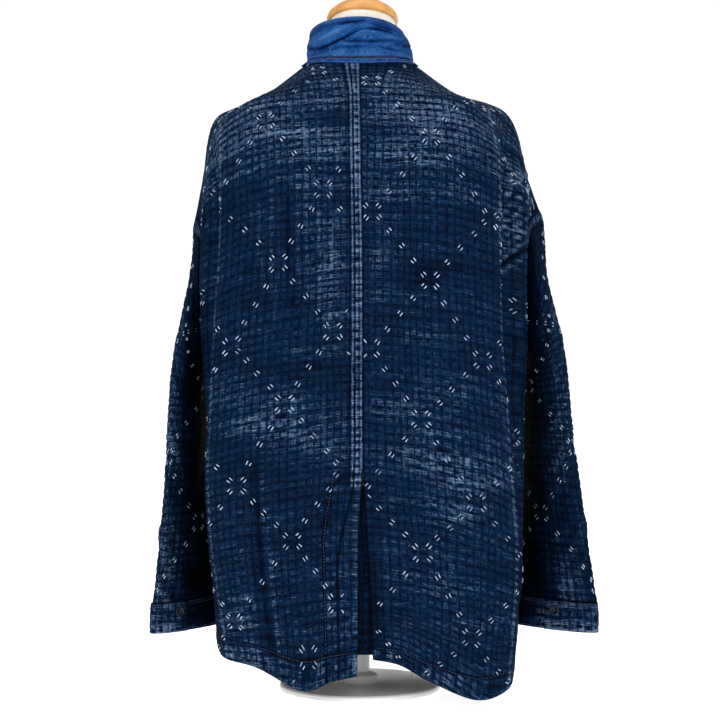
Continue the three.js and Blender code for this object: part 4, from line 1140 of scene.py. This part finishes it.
def gauze_group():
    """Yarn-dyed double gauze: sunk lines darkened with painted shade, streaky threads, crests paler
    by fading and painted highlight, and a near-black painted shade where the value is lowest.
    """
    tree = bpy.data.node_groups.new("double_gauze", "ShaderNodeTree")
    for in_out, sockets in (("INPUT", GAUZE_INPUTS), ("OUTPUT", GAUZE_OUTPUTS)):
        for label, kind in sockets.items():
            tree.interface.new_socket(label, in_out=in_out, socket_type=kind)
    given, out = tree.nodes.new("NodeGroupInput"), tree.nodes.new("NodeGroupOutput")
    cells = given.outputs["Cells"]
    split = add(tree, "ShaderNodeSeparateXYZ", {"Vector": cells})
    fade_and_painted_light = given.outputs["Fade"]
    pale = ramp(tree, fade_and_painted_light, 0.15, 0.6)
    lines = []
    for axis, stretch, wide in ((0, (0.2, 1.4, 1), 0.22), (1, (1.4, 0.2, 1), 0.34)):
        away = maths(tree, "PINGPONG", split.outputs[axis], 0.5)
        mask = ramp(tree, away, wide, 0.03, interpolation_type="SMOOTHSTEP")
        strength = noise(tree, cells, 1.1, 1.0, stretch=stretch)
        lines.append(maths(tree, "MULTIPLY", mask, ramp(tree, strength, 0.3, 0.62)))
    lines[1] = maths(tree, "MULTIPLY", lines[1], maths(tree, "MULTIPLY_ADD", pale, 0.65, 0.6))
    lines[0] = maths(tree, "MULTIPLY", lines[0], 0.8)
    sunk = maths(tree, "MULTIPLY", maths(tree, "MAXIMUM", *lines), given.outputs["Sunk"])
    warp_threads = noise(tree, cells, 1.0, 3.0, 0.65, (8.5, 0.9, 1))
    weft_threads = noise(tree, cells, 1.0, 3.0, 0.65, (0.7, 7.5, 1))
    streak = maths(tree, "MULTIPLY", weft_threads, 1.3)
    streak = maths(tree, "MULTIPLY_ADD", warp_threads, 0.7, streak)
    streak = maths(tree, "SUBTRACT", streak, 1.0)
    reach = maths(tree, "MULTIPLY_ADD", pale, 1.7, 0.8)
    worn_and_painted_light = maths(tree, "MULTIPLY_ADD", streak, reach, fade_and_painted_light)
    # painted shade: the sunk lines darken the colour, more where the cloth is paler
    depth = maths(tree, "MULTIPLY_ADD", pale, 0.32, 0.3)
    worn_and_painted_light = maths(tree, "SUBTRACT", worn_and_painted_light, maths(tree, "MULTIPLY", sunk, depth))
    deep, middle, faded = (given.outputs[label] for label in ("Deep", "Middle", "Faded"))
    colour = mixed(tree, ramp(tree, worn_and_painted_light, 0.0, 0.45), deep, middle)
    colour = mixed(tree, ramp(tree, worn_and_painted_light, 0.38, 1.05), colour, faded)
    # painted shade: near black at the bottom of folds and in recesses, where the value falls below
    # zero
    colour = mixed(tree, ramp(tree, worn_and_painted_light, -0.35, 0.05), PAINTED_FOLD_SHADE, colour)
    threads = [
        maths(tree, "SINE", maths(tree, "MULTIPLY", split.outputs[axis], 2 * math.pi * count))
        for axis, count in ((0, 9.0), (1, 11.0))
    ]
    fine = maths(tree, "MULTIPLY", *threads)
    height = maths(tree, "MULTIPLY_ADD", fine, 0.12, maths(tree, "MULTIPLY", streak, 1.1))
    height = maths(tree, "MULTIPLY_ADD", sunk, -0.7, height)
    tree.links.new(colour, out.inputs["Colour"])
    tree.links.new(height, out.inputs["Height"])
    tree.links.new(maths(tree, "MULTIPLY_ADD", pale, 0.08, 0.84), out.inputs["Roughness"])
    return tree


def surface(name, roughness=0.6, **plain):
    """A material with its Principled shader; plain numbers go straight on the shader's sockets."""
    material = bpy.data.materials.new(name)
    material.use_nodes = True
    tree = material.node_tree
    shader = tree.nodes["Principled BSDF"]
    shader.inputs["Roughness"].default_value = roughness
    for key, value in plain.items():
        shader.inputs[key.replace("_", " ")].default_value = value
    return material, tree, shader


def coat(tree, shader, colour, height, depth, roughness=None):
    """Joins a finish's colour, its relief of a depth in metres, and its roughness to the shader."""
    tree.links.new(colour, shader.inputs["Base Color"])
    if roughness:
        tree.links.new(roughness, shader.inputs["Roughness"])
    relief = add(tree, "ShaderNodeBump", {"Height": height, "Distance": depth, "Strength": 1.0})
    tree.links.new(relief.outputs[0], shader.inputs["Normal"])


def gauze_material(name, weave, colours, uv="weave", scale=(1, 1, 1), sunk=1.0, depth=0.0007):
    """Double gauze in three colours: deep, middle and faded."""
    material, tree, shader = surface(name, Sheen_Weight=0.0, Specular_IOR_Level=0.04)
    place = add(tree, "ShaderNodeUVMap", uv_map=uv).outputs[0]
    cells = add(tree, "ShaderNodeMapping", {"Vector": place, "Scale": scale}).outputs[0]
    # the fade attribute, which also holds painted light and painted shade
    fade_and_painted_light = add(tree, "ShaderNodeAttribute", attribute_name="fade_and_painted_light").outputs["Fac"]
    values = (cells, fade_and_painted_light, *(linear(*colour) for colour in colours), sunk)
    woven = add(tree, "ShaderNodeGroup", dict(zip(GAUZE_INPUTS, values)), node_tree=weave).outputs
    coat(tree, shader, woven["Colour"], woven["Height"], depth, woven["Roughness"])
    return material


def thread_material(name, dim, bright):
    """Twisted cotton thread, dim or bright by how each stitch was left."""
    material, tree, shader = surface(name, 0.7, Sheen_Weight=0.1, Specular_IOR_Level=0.25)
    level = add(tree, "ShaderNodeAttribute", attribute_name="bright").outputs["Fac"]
    twist = noise(tree, on_object(tree), 900.0, 2.0)
    ply = maths(tree, "SUBTRACT", twist, 0.5)
    shade = maths(tree, "MULTIPLY_ADD", ply, 0.5, level, clamp=True)
    coat(tree, shader, mixed(tree, shade, linear(*dim), linear(*bright)), twist, 0.0003)
    return material


def linen_material():
    material, tree, shader = surface("form_linen", 0.85, Sheen_Weight=0.15)
    place = on_object(tree)
    warp = noise(tree, place, 1.0, 2.0, 0.6, (900, 900, 160))
    weft = noise(tree, place, 1.0, 2.0, 0.6, (160, 160, 1100))
    weave = maths(tree, "ADD", warp, weft)
    soft = noise(tree, place, 22.0, 2.0)
    shade = maths(tree, "MULTIPLY_ADD", weave, 0.6, maths(tree, "MULTIPLY", soft, 0.5), clamp=True)
    colour = mixed(tree, shade, linear(226, 214, 190), linear(252, 247, 234))
    coat(tree, shader, colour, weave, 0.0004)
    return material


def wood_material():
    material, tree, shader = surface("cap_wood", 0.42, Coat_Weight=0.25, Coat_Roughness=0.3)
    place = on_object(tree)
    wander = noise(tree, place, 14.0, 2.0, stretch=(0.35, 1, 1))
    grain = noise(tree, place, 1.0, 4.0, 0.7, (40, 420, 420))
    bands = add(
        tree, "ShaderNodeTexWave",
        {"Vector": place, "Scale": 26.0, "Distortion": 5.0, "Detail": 2.0},
        bands_direction="Y",
    ).outputs["Fac"]
    tone = maths(tree, "MULTIPLY_ADD", bands, 0.35, maths(tree, "MULTIPLY", wander, 0.5))
    colour = mixed(tree, tone, linear(206, 132, 62), linear(244, 186, 108))
    dark = maths(tree, "MULTIPLY", maths(tree, "GREATER_THAN", grain, 0.62), 0.35)
    colour = mixed(tree, dark, colour, linear(150, 86, 38))
    coat(tree, shader, colour, grain, 0.0002, maths(tree, "MULTIPLY_ADD", grain, 0.2, 0.34))
    return material


def steel_material():
    material, tree, shader = surface("white_steel", 0.4, Coat_Weight=0.3, Coat_Roughness=0.25)
    place = on_object(tree)
    peel = noise(tree, place, 420.0, 2.0)
    dust = noise(tree, place, 9.0, 3.0)
    colour = mixed(tree, dust, linear(232, 232, 230), linear(246, 246, 245))
    coat(tree, shader, colour, peel, 0.0001, maths(tree, "MULTIPLY_ADD", dust, 0.25, 0.28))
    return material


def horn_material():
    material, tree, shader = surface(
        "dark_button", 0.4, Coat_Weight=0.12, Coat_Roughness=0.3, Specular_IOR_Level=0.3,
    )
    place = on_object(tree)
    cloud = noise(tree, place, 260.0, 3.0, 0.6, (1, 1, 2.5))
    colour = mixed(tree, cloud, linear(6, 8, 16), linear(24, 28, 44))
    scratch = noise(tree, place, 1.0, 2.0, 0.5, (2600, 300, 300))
    coat(tree, shader, colour, scratch, 0.00005, maths(tree, "MULTIPLY_ADD", scratch, 0.3, 0.16))
    return material


# ---------------------------------------------------------------- buttons, form and stand


# A button's rim, from its sunk middle to its back: shares of the radius and thickness.
BUTTON_PROFILE = [
    (0.66, 0.62), (0.70, 0.66), (0.76, 0.92), (0.83, 1.0), (0.92, 0.97),
    (1.0, 0.66), (1.0, 0.42), (0.9, 0.06), (0.84, 0),
]
HOLE_OUT, HOLE_R = 0.3375, 0.12     # shares of the button's radius


def stood(seat, axis):
    """Moves what is made upright at the middle onto a seat, along an axis."""
    turned_up = Vector((0, 0, 1)).rotation_difference(axis)
    return Matrix.Translation(seat) @ turned_up.to_matrix().to_4x4()


def button_piece(node, normal, radius, thread, horn):
    """A four-hole button with its sewing thread, on the place of its CAD node."""
    low, high = (np.array(v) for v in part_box(node))
    r, thick, axis = radius * MM, BUTTON_THICK * MM, Vector(normal)
    on_cloth = stood(Vector((low + high) / 2) - axis * thick / 2, axis)
    bm = bmesh.new()
    middle_r, middle_level = BUTTON_PROFILE[0]
    ring = bmesh.ops.create_circle(bm, segments=32, radius=r * middle_r)["verts"]
    holes = []
    for k in range(4):
        a, out = math.pi / 4 + k * math.pi / 2, HOLE_OUT * r
        place = Matrix.Translation((out * math.cos(a), out * math.sin(a), 0))
        circle = bmesh.ops.create_circle(bm, segments=10, radius=r * HOLE_R, matrix=place)
        holes.append(circle["verts"])
    bmesh.ops.triangle_fill(bm, use_beauty=True, use_dissolve=False, edges=bm.edges[:])
    for vert in bm.verts:
        vert.co.z = thick * middle_level
    round_it = lambda verts: [e for e in open_edges(bm) if all(v in verts for v in e.verts)]
    rim = round_it(ring)
    for hole in holes:
        deep = bmesh.ops.extrude_edge_only(bm, edges=round_it(hole))["geom"]
        for vert in only(bmesh.types.BMVert, deep):
            vert.co.z = 0
    for (r0, _), (r1, h1) in zip(BUTTON_PROFILE, BUTTON_PROFILE[1:]):
        grown = bmesh.ops.extrude_edge_only(bm, edges=rim)["geom"]
        for vert in only(bmesh.types.BMVert, grown):
            vert.co.xy *= r1 / r0
            vert.co.z = thick * h1
        rim = only(bmesh.types.BMEdge, grown)
    bmesh.ops.triangle_fill(bm, use_beauty=True, use_dissolve=False, edges=open_edges(bm))
    bmesh.ops.recalc_face_normals(bm, faces=bm.faces)
    bmesh.ops.transform(bm, matrix=on_cloth, verts=bm.verts)
    dress(finish_piece(f"{node}_horn", bm), horn, "dark_button", node)
    tie = bmesh.new()
    for turn in (math.pi / 4, -math.pi / 4):
        made = bmesh.ops.create_uvsphere(tie, u_segments=8, v_segments=8, radius=1)["verts"]
        shape = Matrix.Diagonal((r * 0.46, r * 0.09, thick * 0.3, 1))
        lift = Matrix.Translation((0, 0, thick * middle_level))
        place = on_cloth @ lift @ Matrix.Rotation(turn, 4, "Z") @ shape
        bmesh.ops.transform(tie, matrix=place, verts=made)
    dress(finish_piece(f"{node}_horn_thread", tie), thread, "dark_button")


def form_piece():
    """The dress form's padded body and neck in their linen cover."""
    rings = np.array(FORM_RINGS, float)
    columns, rows = 129, 170
    level, turn = spread(np.linspace(0, len(rings) - 1, rows), np.linspace(0, 2 * math.pi, columns))
    z, right, left, front, back, middle, tilt, power = through(rings[:, None], level).T
    cos, sin = np.cos(turn), np.sin(turn)
    x = np.sign(cos) * np.abs(cos) ** power * np.where(cos > 0, right, left)
    y = middle + np.sign(sin) * np.abs(sin) ** power * np.where(sin > 0, front, back)
    z = z + (y - middle) * tilt
    # the cover is gathered in fine pleats into the neck
    neck = smooth(770, 800, z)
    grow = 1 + neck * (0.006 * np.sin(turn * 46) + 0.003 * np.sin(turn * 17 + 1))
    places = np.stack([x * grow, middle + (y - middle) * grow, z], axis=1) * MM
    bm = bmesh.new()
    bmesh.ops.create_grid(bm, x_segments=columns - 1, y_segments=rows - 1, size=1)
    verts = list(bm.verts)
    for vert, place in zip(verts, places):
        vert.co = place
    seam = {verts[k + columns - 1]: verts[k] for k in range(0, len(verts), columns)}
    bmesh.ops.weld_verts(bm, targetmap=seam)
    bmesh.ops.holes_fill(bm, edges=open_edges(bm))
    bmesh.ops.poke(bm, faces=[f for f in bm.faces if len(f.verts) > 4])
    bmesh.ops.recalc_face_normals(bm, faces=bm.faces)
    return finish_piece("form_cover", bm)


def turned(name, profile, matrix, round_by):
    """A turned solid: the profile is spun about its axis after its corners are rounded."""
    bm = bmesh.new()
    line = [bm.verts.new((r * MM, 0, h * MM)) for r, h in profile]
    for ends in zip(line, line[1:]):
        bm.edges.new(ends)
    bmesh.ops.bevel(
        bm, geom=line[1:-1], offset=round_by * MM,
        affect="VERTICES", segments=4, profile=0.5, material=-1,
    )
    bmesh.ops.spin(
        bm, geom=bm.verts[:] + bm.edges[:], cent=(0, 0, 0), axis=(0, 0, 1),
        angle=2 * math.pi, steps=96, use_merge=True,
    )
    bmesh.ops.remove_doubles(bm, verts=bm.verts, dist=0.000005)
    bmesh.ops.recalc_face_normals(bm, faces=bm.faces)
    bmesh.ops.transform(bm, matrix=matrix, verts=bm.verts)
    return finish_piece(name, bm)


def underlap_piece(panels):
    """The strip of the right back behind the vent."""
    nets, half = [], UNDERLAP_WIDE / 2
    sizes = (28, 110), (7, 26)
    for (columns, rows), depth in zip(sizes, (0.0, CLOTH)):
        up = np.linspace(UNDERLAP_LOW_Z, VENT_TOP_Z, rows)
        z, x = spread(up, np.linspace(-half, half, columns))
        level = np.maximum((z - 57) / 77, 0)
        behind = [panels[side, -1].at(np.full(len(z), 0.3), level)[:, 1] for side in (1, -1)]
        nets.append(np.stack([x, np.maximum(*behind) + CLOTH + 1.6 + depth, z], axis=1))
    base = nets[0]
    p, q = base[:, 0] + half, base[:, 2] - UNDERLAP_LOW_Z
    warp, weft = gauze_places(p, q, 71)
    relief = gauze_relief(warp, weft, p, q, 71)
    relief = relief * smooth(0, 2, p) * smooth(0, 2, UNDERLAP_WIDE - p) * smooth(0, 2, q)
    relief = np.minimum(relief, 0.5)
    outer = base - np.array([0, 1, 0]) * relief[:, None]
    # painted shade: the strip is kept dark in the recess behind the vent
    fade_and_painted_light = -0.12 + 0.12 * relief + 0.12 * soft_noise(p, q, 9, 30, 72) + 0.12 * bump(p - 30, 6)
    fade_and_painted_light = np.clip(fade_and_painted_light, -0.4, 1)
    return shell("vent_underlap_cloth", outer, nets[1], *sizes, (p, q), (warp, weft), fade_and_painted_light)


# ---------------------------------------------------------------- the cloth pieces


def rows_of(keys, table):
    return [dict(zip(keys, row)) for row in table]


def front_rows(back, share):
    rows = rows_of(FRONT_KEYS, FRONT)
    for row, behind in zip(rows, back):
        for key in ("xf", "xw", "xg", "xd"):
            row[key] *= share
        row.update(x0=-FRONT_OVERLAP, ze=behind["ze"], xe=behind["xe"], ye=-behind["ye"])
    return rows


# Creases: x0, z0, x1, z1, bow, width, height (+ ridge, - trough), on the body in mm.
CREASES_RIGHT = [
    [193, 120, 197, 460, 0, 8, 5.5],
    [212, 645, 164, 592, 2, 3, 2.2],
    [212, 626, 164, 577, 2, 3, 2.6],
    [212, 608, 164, 561, 2, 3, 2.4],
    [212, 591, 164, 548, 2, 3, 2.6],
    [212, 574, 164, 536, 2, 3.2, 2.4],
    [211, 559, 164, 526, 2, 3.4, 2.4],
    [209, 549, 166, 521, 1, 2.4, -3.0],
    [208, 540, 164, 511, 1, 3.4, 2.0],
    [120, 620, 60, 380, 8, 12, 1.6],
    [150, 470, 110, 250, -8, 16, 2.4],
    [90, 330, 60, 70, 6, 14, 2.2],
    [140, 240, 120, 60, -5, 14, -2.0],
    [40, 700, 150, 640, 6, 14, 1.2],
    [30, 430, 150, 380, 4, 12, 1.0],
]
CREASES_LEFT = [
    [-125, 380, -95, 55, 10, 9, 3.0],
    [-108, 360, -78, 60, 8, 10, -2.2],
    [-116, 300, -88, 22, 4, 4.4, 1.2],
    [-125, 300, -97, 22, 4, 4.6, -2.2],
    [-133, 240, -106, 40, 3, 4, -1.0],
    [-6, 276, -38, 261, 1, 2.4, -2.4],
    [-150, 560, -132, 400, 4, 10, 1.8],
    [-48, 640, -44, 470, 2, 3, 0.9],
    [-62, 640, -58, 470, 3, 3.5, 1.1],
    [-74, 636, -69, 480, 3, 3, 0.9],
    [-84, 640, -80, 460, 3, 4, -1.2],
    [-104, 630, -98, 450, 4, 4, 1.2],
    [-118, 610, -110, 480, 4, 3.5, 1.0],
    [-30, 600, -34, 440, 2, 4, 0.8],
    [-50, 470, -150, 430, 5, 14, 1.2],
    [-60, 250, -40, 60, 4, 14, 1.6],
    [-170, 250, -120, 330, 4, 5, 1.4],
    [-170, 220, -122, 290, 4, 5, 1.4],
    [-168, 190, -118, 250, 4, 5, 1.4],
]
CREASES_FRONT = [
    [150, 600, 110, 380, 6, 14, 2.2],
    [-150, 600, -110, 380, -6, 14, 2.2],
    [120, 340, 90, 80, 6, 16, 2.6],
    [-120, 340, -90, 80, -6, 16, 2.6],
    [60, 690, 150, 640, 6, 14, 1.4],
    [-60, 690, -150, 640, -6, 14, 1.4],
]
# Sleeve creases: around and down from the armhole, in mm.
CREASES_SLEEVE = [
    [40, 60, 120, 110, 8, 7, 2.4],
    [60, 90, 140, 150, 8, 7, -2.0],
    [30, 130, 130, 180, 6, 8, 2.2],
    [60, 240, 120, 300, 6, 9, 2.2],
    [40, 290, 110, 250, 6, 8, -1.8],
    [20, 360, 120, 400, 6, 9, 2.0],
    [200, 80, 280, 140, 8, 8, 2.2],
    [190, 180, 290, 240, 8, 9, 2.2],
    [210, 330, 290, 290, 8, 9, -2.0],
]
# Where the cloth is lighter or darker: x, z, half width, half height, amount.
FADE_RIGHT = [
    [80, 690, 120, 76, 0.35], [71, 676, 60, 40, 0.16], [24, 540, 22, 62, 0.16],
    [60, 335, 66, 36, 0.34], [122, 250, 58, 52, 0.34], [96, 128, 70, 52, 0.2],
    [110, 520, 60, 60, -0.06], [60, 200, 30, 40, -0.08], [186, 570, 24, 50, 0.1],
    [196, 650, 26, 60, 0.16], [60, 766, 70, 26, 0.14],
]
FADE_LEFT = [
    [-90, 686, 125, 76, 0.31], [-70, 676, 60, 40, 0.14], [-34, 522, 22, 76, 0.28],
    [-70, 326, 60, 42, 0.25], [-147, 352, 32, 40, 0.2], [-188, 650, 26, 60, 0.16],
    [-24, 90, 20, 60, 0.1], [-142, 90, 30, 46, 0.3], [-100, 560, 50, 70, -0.06],
    [-70, 200, 40, 60, -0.06], [-60, 766, 70, 26, 0.12],
]
FADE_FRONT = [[0, 640, 160, 70, 0.1], [0, 250, 160, 120, 0.05]]
# On the sleeves the zones are painted light on the lit outer side and painted shade in the valley
# beside the body.
SLEEVE_PAINTED_LIGHT = {
    1: [
        [244, 360, 15, 230, 0.3], [258, 130, 15, 60, 0.24],
        [208, 280, 16, 240, -0.6], [222, 110, 12, 60, -0.3],
    ],
    -1: [
        [-234, 300, 18, 260, 0.38], [-244, 120, 14, 50, 0.24],
        [-198, 280, 16, 240, -0.6], [-212, 110, 12, 60, -0.3],
    ],
}
# How far the weft has slipped: z, and the drop 150 mm out from the centre.
SAG_RIGHT = [[40, 34], [230, 34], [330, 22], [450, 8], [640, 4], [780, 0]]
SAG_LEFT = [[40, 16], [300, 20], [430, 16], [560, 8], [700, 6], [780, 0]]
SAG_FRONT = [[40, 12], [400, 12], [640, 4], [780, 0]]
# By side and face: a panel's name, spacing, creases, seed, zones of fading, and slip.
PANEL_LOOKS = {
    (1, -1): ("back_right", BACK_STEP, CREASES_RIGHT, 11, FADE_RIGHT, SAG_RIGHT),
    (-1, -1): ("back_left", BACK_STEP, CREASES_LEFT, 211, FADE_LEFT, SAG_LEFT),
    (1, 1): ("front_right", FRONT_STEP, CREASES_FRONT, 411, FADE_FRONT, SAG_FRONT),
    (-1, 1): ("front_left", FRONT_STEP, CREASES_FRONT, 611, FADE_FRONT, SAG_FRONT),
}
# Colours of the dyed cloths, deep, middle and faded, and of the threads, dim and bright.
INDIGO = (1, 17, 41), (16, 44, 75), (110, 132, 162)
COLLAR_BLUE = (1, 26, 72), (22, 70, 134), (72, 122, 186)
SASHIKO_THREAD = (72, 96, 142), (186, 205, 231)
SEAM_THREAD = (30, 52, 92), (112, 134, 172)


def build_panels():
    """The nets of the body panels, by side (+1 is right) and face (-1 is back)."""
    panels = {}
    for side, rows, front_share in ((1, BACK_RIGHT, 1), (-1, BACK_LEFT, 0.94)):
        back = rows_of(ROW_KEYS, rows)
        panels[side, -1] = Panel(side, -1, back, HEM[side])
        panels[side, 1] = Panel(side, 1, front_rows(back, front_share), HEM["front"])
    return panels


def build_jacket():
    weave = gauze_group()
    indigo = gauze_material("indigo_gauze", weave, INDIGO)
    blue = gauze_material(
        "collar_cloth_blue", weave, COLLAR_BLUE,
        uv="cloth", scale=(380, 340, 1), sunk=0.35, depth=0.0003,
    )
    white_thread = thread_material("sashiko_thread", *SASHIKO_THREAD)
    blue_thread = thread_material("seam_thread", *SEAM_THREAD)
    horn = horn_material()

    panels = build_panels()
    made = {
        key: body_panel(f"{name}_cloth", panels[key], *look)
        for key, (name, *look) in PANEL_LOOKS.items()
    }
    for key, piece in made.items():
        name, cut = PANEL_LOOKS[key][0], BACK_CUT if key[1] < 0 else FRONT_CUT
        area = PANEL_SHARE * cut[0] * cut[1]
        hang(piece.obj, indigo, "indigo_gauze", name, cut, "form_torso", area=area)
    right_back = made[1, -1].obj
    underlap = underlap_piece(panels)
    hang(underlap, indigo, "indigo_gauze", "vent_underlap", UNDERLAP_CUT, right_back)

    sleeves, cuffs = {}, {}
    for side, word in SIDES:
        form = Sleeve(side, panels[side, -1], panels[side, 1])
        sleeve = sleeve_piece(f"sleeve_{word}_cloth", form, 811 - 50 * side, SLEEVE_PAINTED_LIGHT[side])
        hang(
            sleeve.obj, indigo, "indigo_gauze", f"sleeve_{word}", SLEEVE_CUT, made[side, -1].obj,
            area=SLEEVE_AREA,
        )
        cuff = cuff_piece(f"cuff_{word}_cloth", form, 861 - 30 * side)
        hang(cuff.obj, indigo, "indigo_gauze", f"cuff_{word}", CUFF_CUT, sleeve.obj)
        sleeves[side], cuffs[side] = sleeve, cuff
        seat = 1 + CUFF_LAP - CUFF_BUTTON_IN + np.array([-0.01, 0.01])
        ends = cuff_net(form, seat, np.full(2, CUFF_BUTTON_LEVEL), 0)
        run = ends[1] - ends[0]
        normal = unit(np.array([-run[1], run[0], 0]) * side)
        button_piece(f"cuff_button_{word}", normal, CUFF_BUTTON_R, blue_thread, horn)

    collar, binding = collar_piece(), binding_piece(panels)
    hang(collar.obj, blue, "blue_gauze", "collar", COLLAR_CUT, right_back)
    hang(
        binding.obj, blue, "blue_gauze", "neck_binding", BINDING_CUT, right_back,
        area=BINDING_AREA,
    )
    for k, level in enumerate(BUTTON_LEVELS):
        i = np.array([0.31, 0.35, 0.33, 0.33])
        j = level + np.array([0, 0, -0.02, 0.02])
        a, b, c, d = panels[-1, 1].at(i, j)
        normal = np.cross(b - a, d - c)
        normal = unit(normal * np.sign(normal[1]))
        button_piece(f"front_button_{k + 1}", normal, SHIRT_BUTTON_R, blue_thread, horn)
    sew_sashiko(made, sleeves, white_thread)
    sew_seams(made, cuffs, collar, binding, blue_thread)


def build_stand():
    """The dress form, its cap and the stand under it."""
    dress(form_piece(), linen_material(), "form_linen", "form_torso")
    axis = Vector((0, math.sin(NECK_TILT), math.cos(NECK_TILT)))
    lean = stood(Vector(FORM_NECK_TOP) * MM + axis * SEAM * MM, axis)
    cap_profile = [
        (0, 0), (42, 0), (CAP_R, 2), (CAP_R, 7), (42, 12), (34, 19), (20, 25), (0, 27.5),
    ]
    cap = turned("neck_cap_wood", cap_profile, lean, 0.9)
    dress(cap, wood_material(), "cap_wood", "neck_cap")
    top = FORM_RINGS[0][0] - SEAM
    stand_profile = [
        (0, 0), (BASE_R - 1.5, 0), (BASE_R, 1.5),
        (BASE_R, BASE_THICK - 2), (BASE_R - 2, BASE_THICK),
        (POLE_R + 10, BASE_THICK), (POLE_R + 10, BASE_THICK + 10), (POLE_R, BASE_THICK + 14),
        (POLE_R, top - 8), (40, top - 5), (40, top), (0, top),
    ]
    stand = turned("stand_steel", stand_profile, Matrix.Identity(4), 0.6)
    dress(stand, steel_material(), "white_steel", "stand")


def sew_sashiko(made, sleeves, thread):
    """The sashiko: its own mesh of stitches for each back, front and sleeve."""
    stitch = thread_template(6, 4)

    def sew(name, *rows):
        laid = [sashiko_rows(*rows)]
        obj = lay_threads(f"sashiko_{name}", laid, stitch, STITCH_WIDE, STITCH_THICK, STITCH_LIFT)
        dress(obj, thread, "indigo_gauze")

    for side, word in SIDES:
        back = made[side, -1]
        x, z = np.array(FLOWERS_RIGHT if side > 0 else FLOWERS_LEFT, float).T
        seen = find_places(back, x, z, 190)
        flowers = whole_lattice(seen, back.p_axis[-1], back.q_axis[-1])
        sew(f"back_{word}", back, flowers, 31 + side, 3 if side > 0 else FELL_WIDTH + 3)
    for side, word in SIDES:
        front = made[side, 1]
        columns, rows = (
            (-2, int(2 * axis[-1] / repeat) + 3)
            for axis, repeat in ((front.p_axis, LATTICE_WIDE), (front.q_axis, LATTICE_HIGH))
        )
        flowers = flat_flowers(40, LATTICE_WIDE, columns, rows)
        sew(f"front_{word}", front, flowers, 61 + side, 34)
        flowers = flat_flowers(0, SLEEVE_GIRTH / 2, (-1, 6), (-1, 7))
        sew(f"sleeve_{word}", sleeves[side], flowers, 81 + side, 0)


def sew_seams(made, cuffs, collar, binding, thread):
    """Topstitching along the hems, the felled seam, the facings, cuffs, collar and binding."""
    seams = []

    def sew(*line):
        seams.append(stitch_line(*line))

    for key, piece in made.items():
        p = np.linspace(5 if key[1] < 0 else 32, piece.p_axis[-1] - 4, 60)
        sew(piece, p, HEM_TURN + 0.2, 3.8, 0.88, 0.2)
    left = made[-1, -1]
    q = np.linspace(255, left.q_axis[-1] - 6, 90)
    for p, bright in ((1.6, 0.7), (FELL_WIDTH - 1.4, 0.75)):
        sew(left, p, q, 3.2, 0.74, bright)
    q = np.linspace(28, 250, 50)
    sew(left, facing_seam(q), q, 3.8, 0.88, 0.15)
    sew(left, np.array([33.0, 4.0]), np.array([252.0, 266.0]), 3.0, 0.7, 0.1)
    for side, _ in SIDES:
        front, cuff = made[side, 1], cuffs[side]
        q = np.linspace(8, front.q_axis[-1] - 8, 60)
        for p in (3.0, 30.0):
            sew(front, p, q, 3.2, 0.72, 0.55)
        p = np.linspace(4, cuff.p_axis[-1] - 4, 60)
        for q in (1.8, 4.6, CUFF_HEIGHT - 2.2):
            sew(cuff, p, q, 2.7, 0.8, 0.3)
    p = np.linspace(3, collar.p_axis[-1] - 3, 80)
    for q, bright in ((46.0, 0.5), (3.0, 0.6)):
        sew(collar, p, q, 2.8, 0.7, bright)
    p = np.linspace(binding.p_axis[0] + 2, binding.p_axis[-1] - 2, 80)
    for q in (1.6, 7.4):
        sew(binding, p, q, 2.6, 0.7, 0.75)
    obj = lay_threads("seam_stitches", seams, thread_template(5, 3), 0.7, 0.5, 0.2)
    dress(obj, thread, "blue_gauze")


# ---------------------------------------------------------------- stage


def stage():
    """A white floor, soft lights and the camera, none of them part of the object."""
    bm = bmesh.new()
    bmesh.ops.create_grid(bm, x_segments=1, y_segments=1, size=12)
    bmesh.ops.translate(bm, verts=bm.verts, vec=(0, 6, -0.0005))
    floor = finish_piece("floor", bm, rounded=False)
    material, tree, shader = surface(
        "floor_white", 0.9, Specular_IOR_Level=0.0, Emission_Strength=0.85,
    )
    shader.inputs["Base Color"].default_value = (0.9, 0.9, 0.9, 1)
    shader.inputs["Emission Color"].default_value = (1, 1, 1, 1)
    floor.data.materials.append(material)

    world = bpy.data.worlds.new("studio")
    bpy.context.scene.world = world
    world.use_nodes = True
    tree = world.node_tree
    back = tree.nodes["Background"]
    back.inputs["Color"].default_value = (1, 1, 1, 1)
    ray = add(tree, "ShaderNodeLightPath").outputs["Is Camera Ray"]
    strength = maths(tree, "MULTIPLY_ADD", ray, 0.65, 0.4)
    tree.links.new(strength, back.inputs["Strength"])

    for name, place, size, power in (
        ("key", (-1.5, -2.6, 1.7), 1.6, 30),
        ("fill", (1.9, -2.4, 1.1), 1.8, 22),
        ("top", (0.0, -0.5, 2.6), 1.6, 14),
        ("behind", (0.6, 2.8, 1.6), 1.8, 22),
    ):
        light = bpy.data.lights.new(name, "AREA")
        light.energy, light.size = power, size
        lamp = place_object(name, light)
        lamp.location = place
        aim = Vector((0, 0, 0.42)) - Vector(place)
        lamp.rotation_euler = aim.to_track_quat("-Z", "Y").to_euler()

    lens = bpy.data.cameras.new("camera")
    lens.lens = 88
    lens.sensor_width = 36
    lens.clip_end = 50
    camera = place_object("camera", lens)
    camera.location = (0, -2.2, 0.410)
    camera.rotation_euler = (math.pi / 2, 0, 0)
    bpy.context.scene.camera = camera
    bpy.context.scene.view_settings.view_transform = "Standard"


build_jacket()
build_stand()
stage()
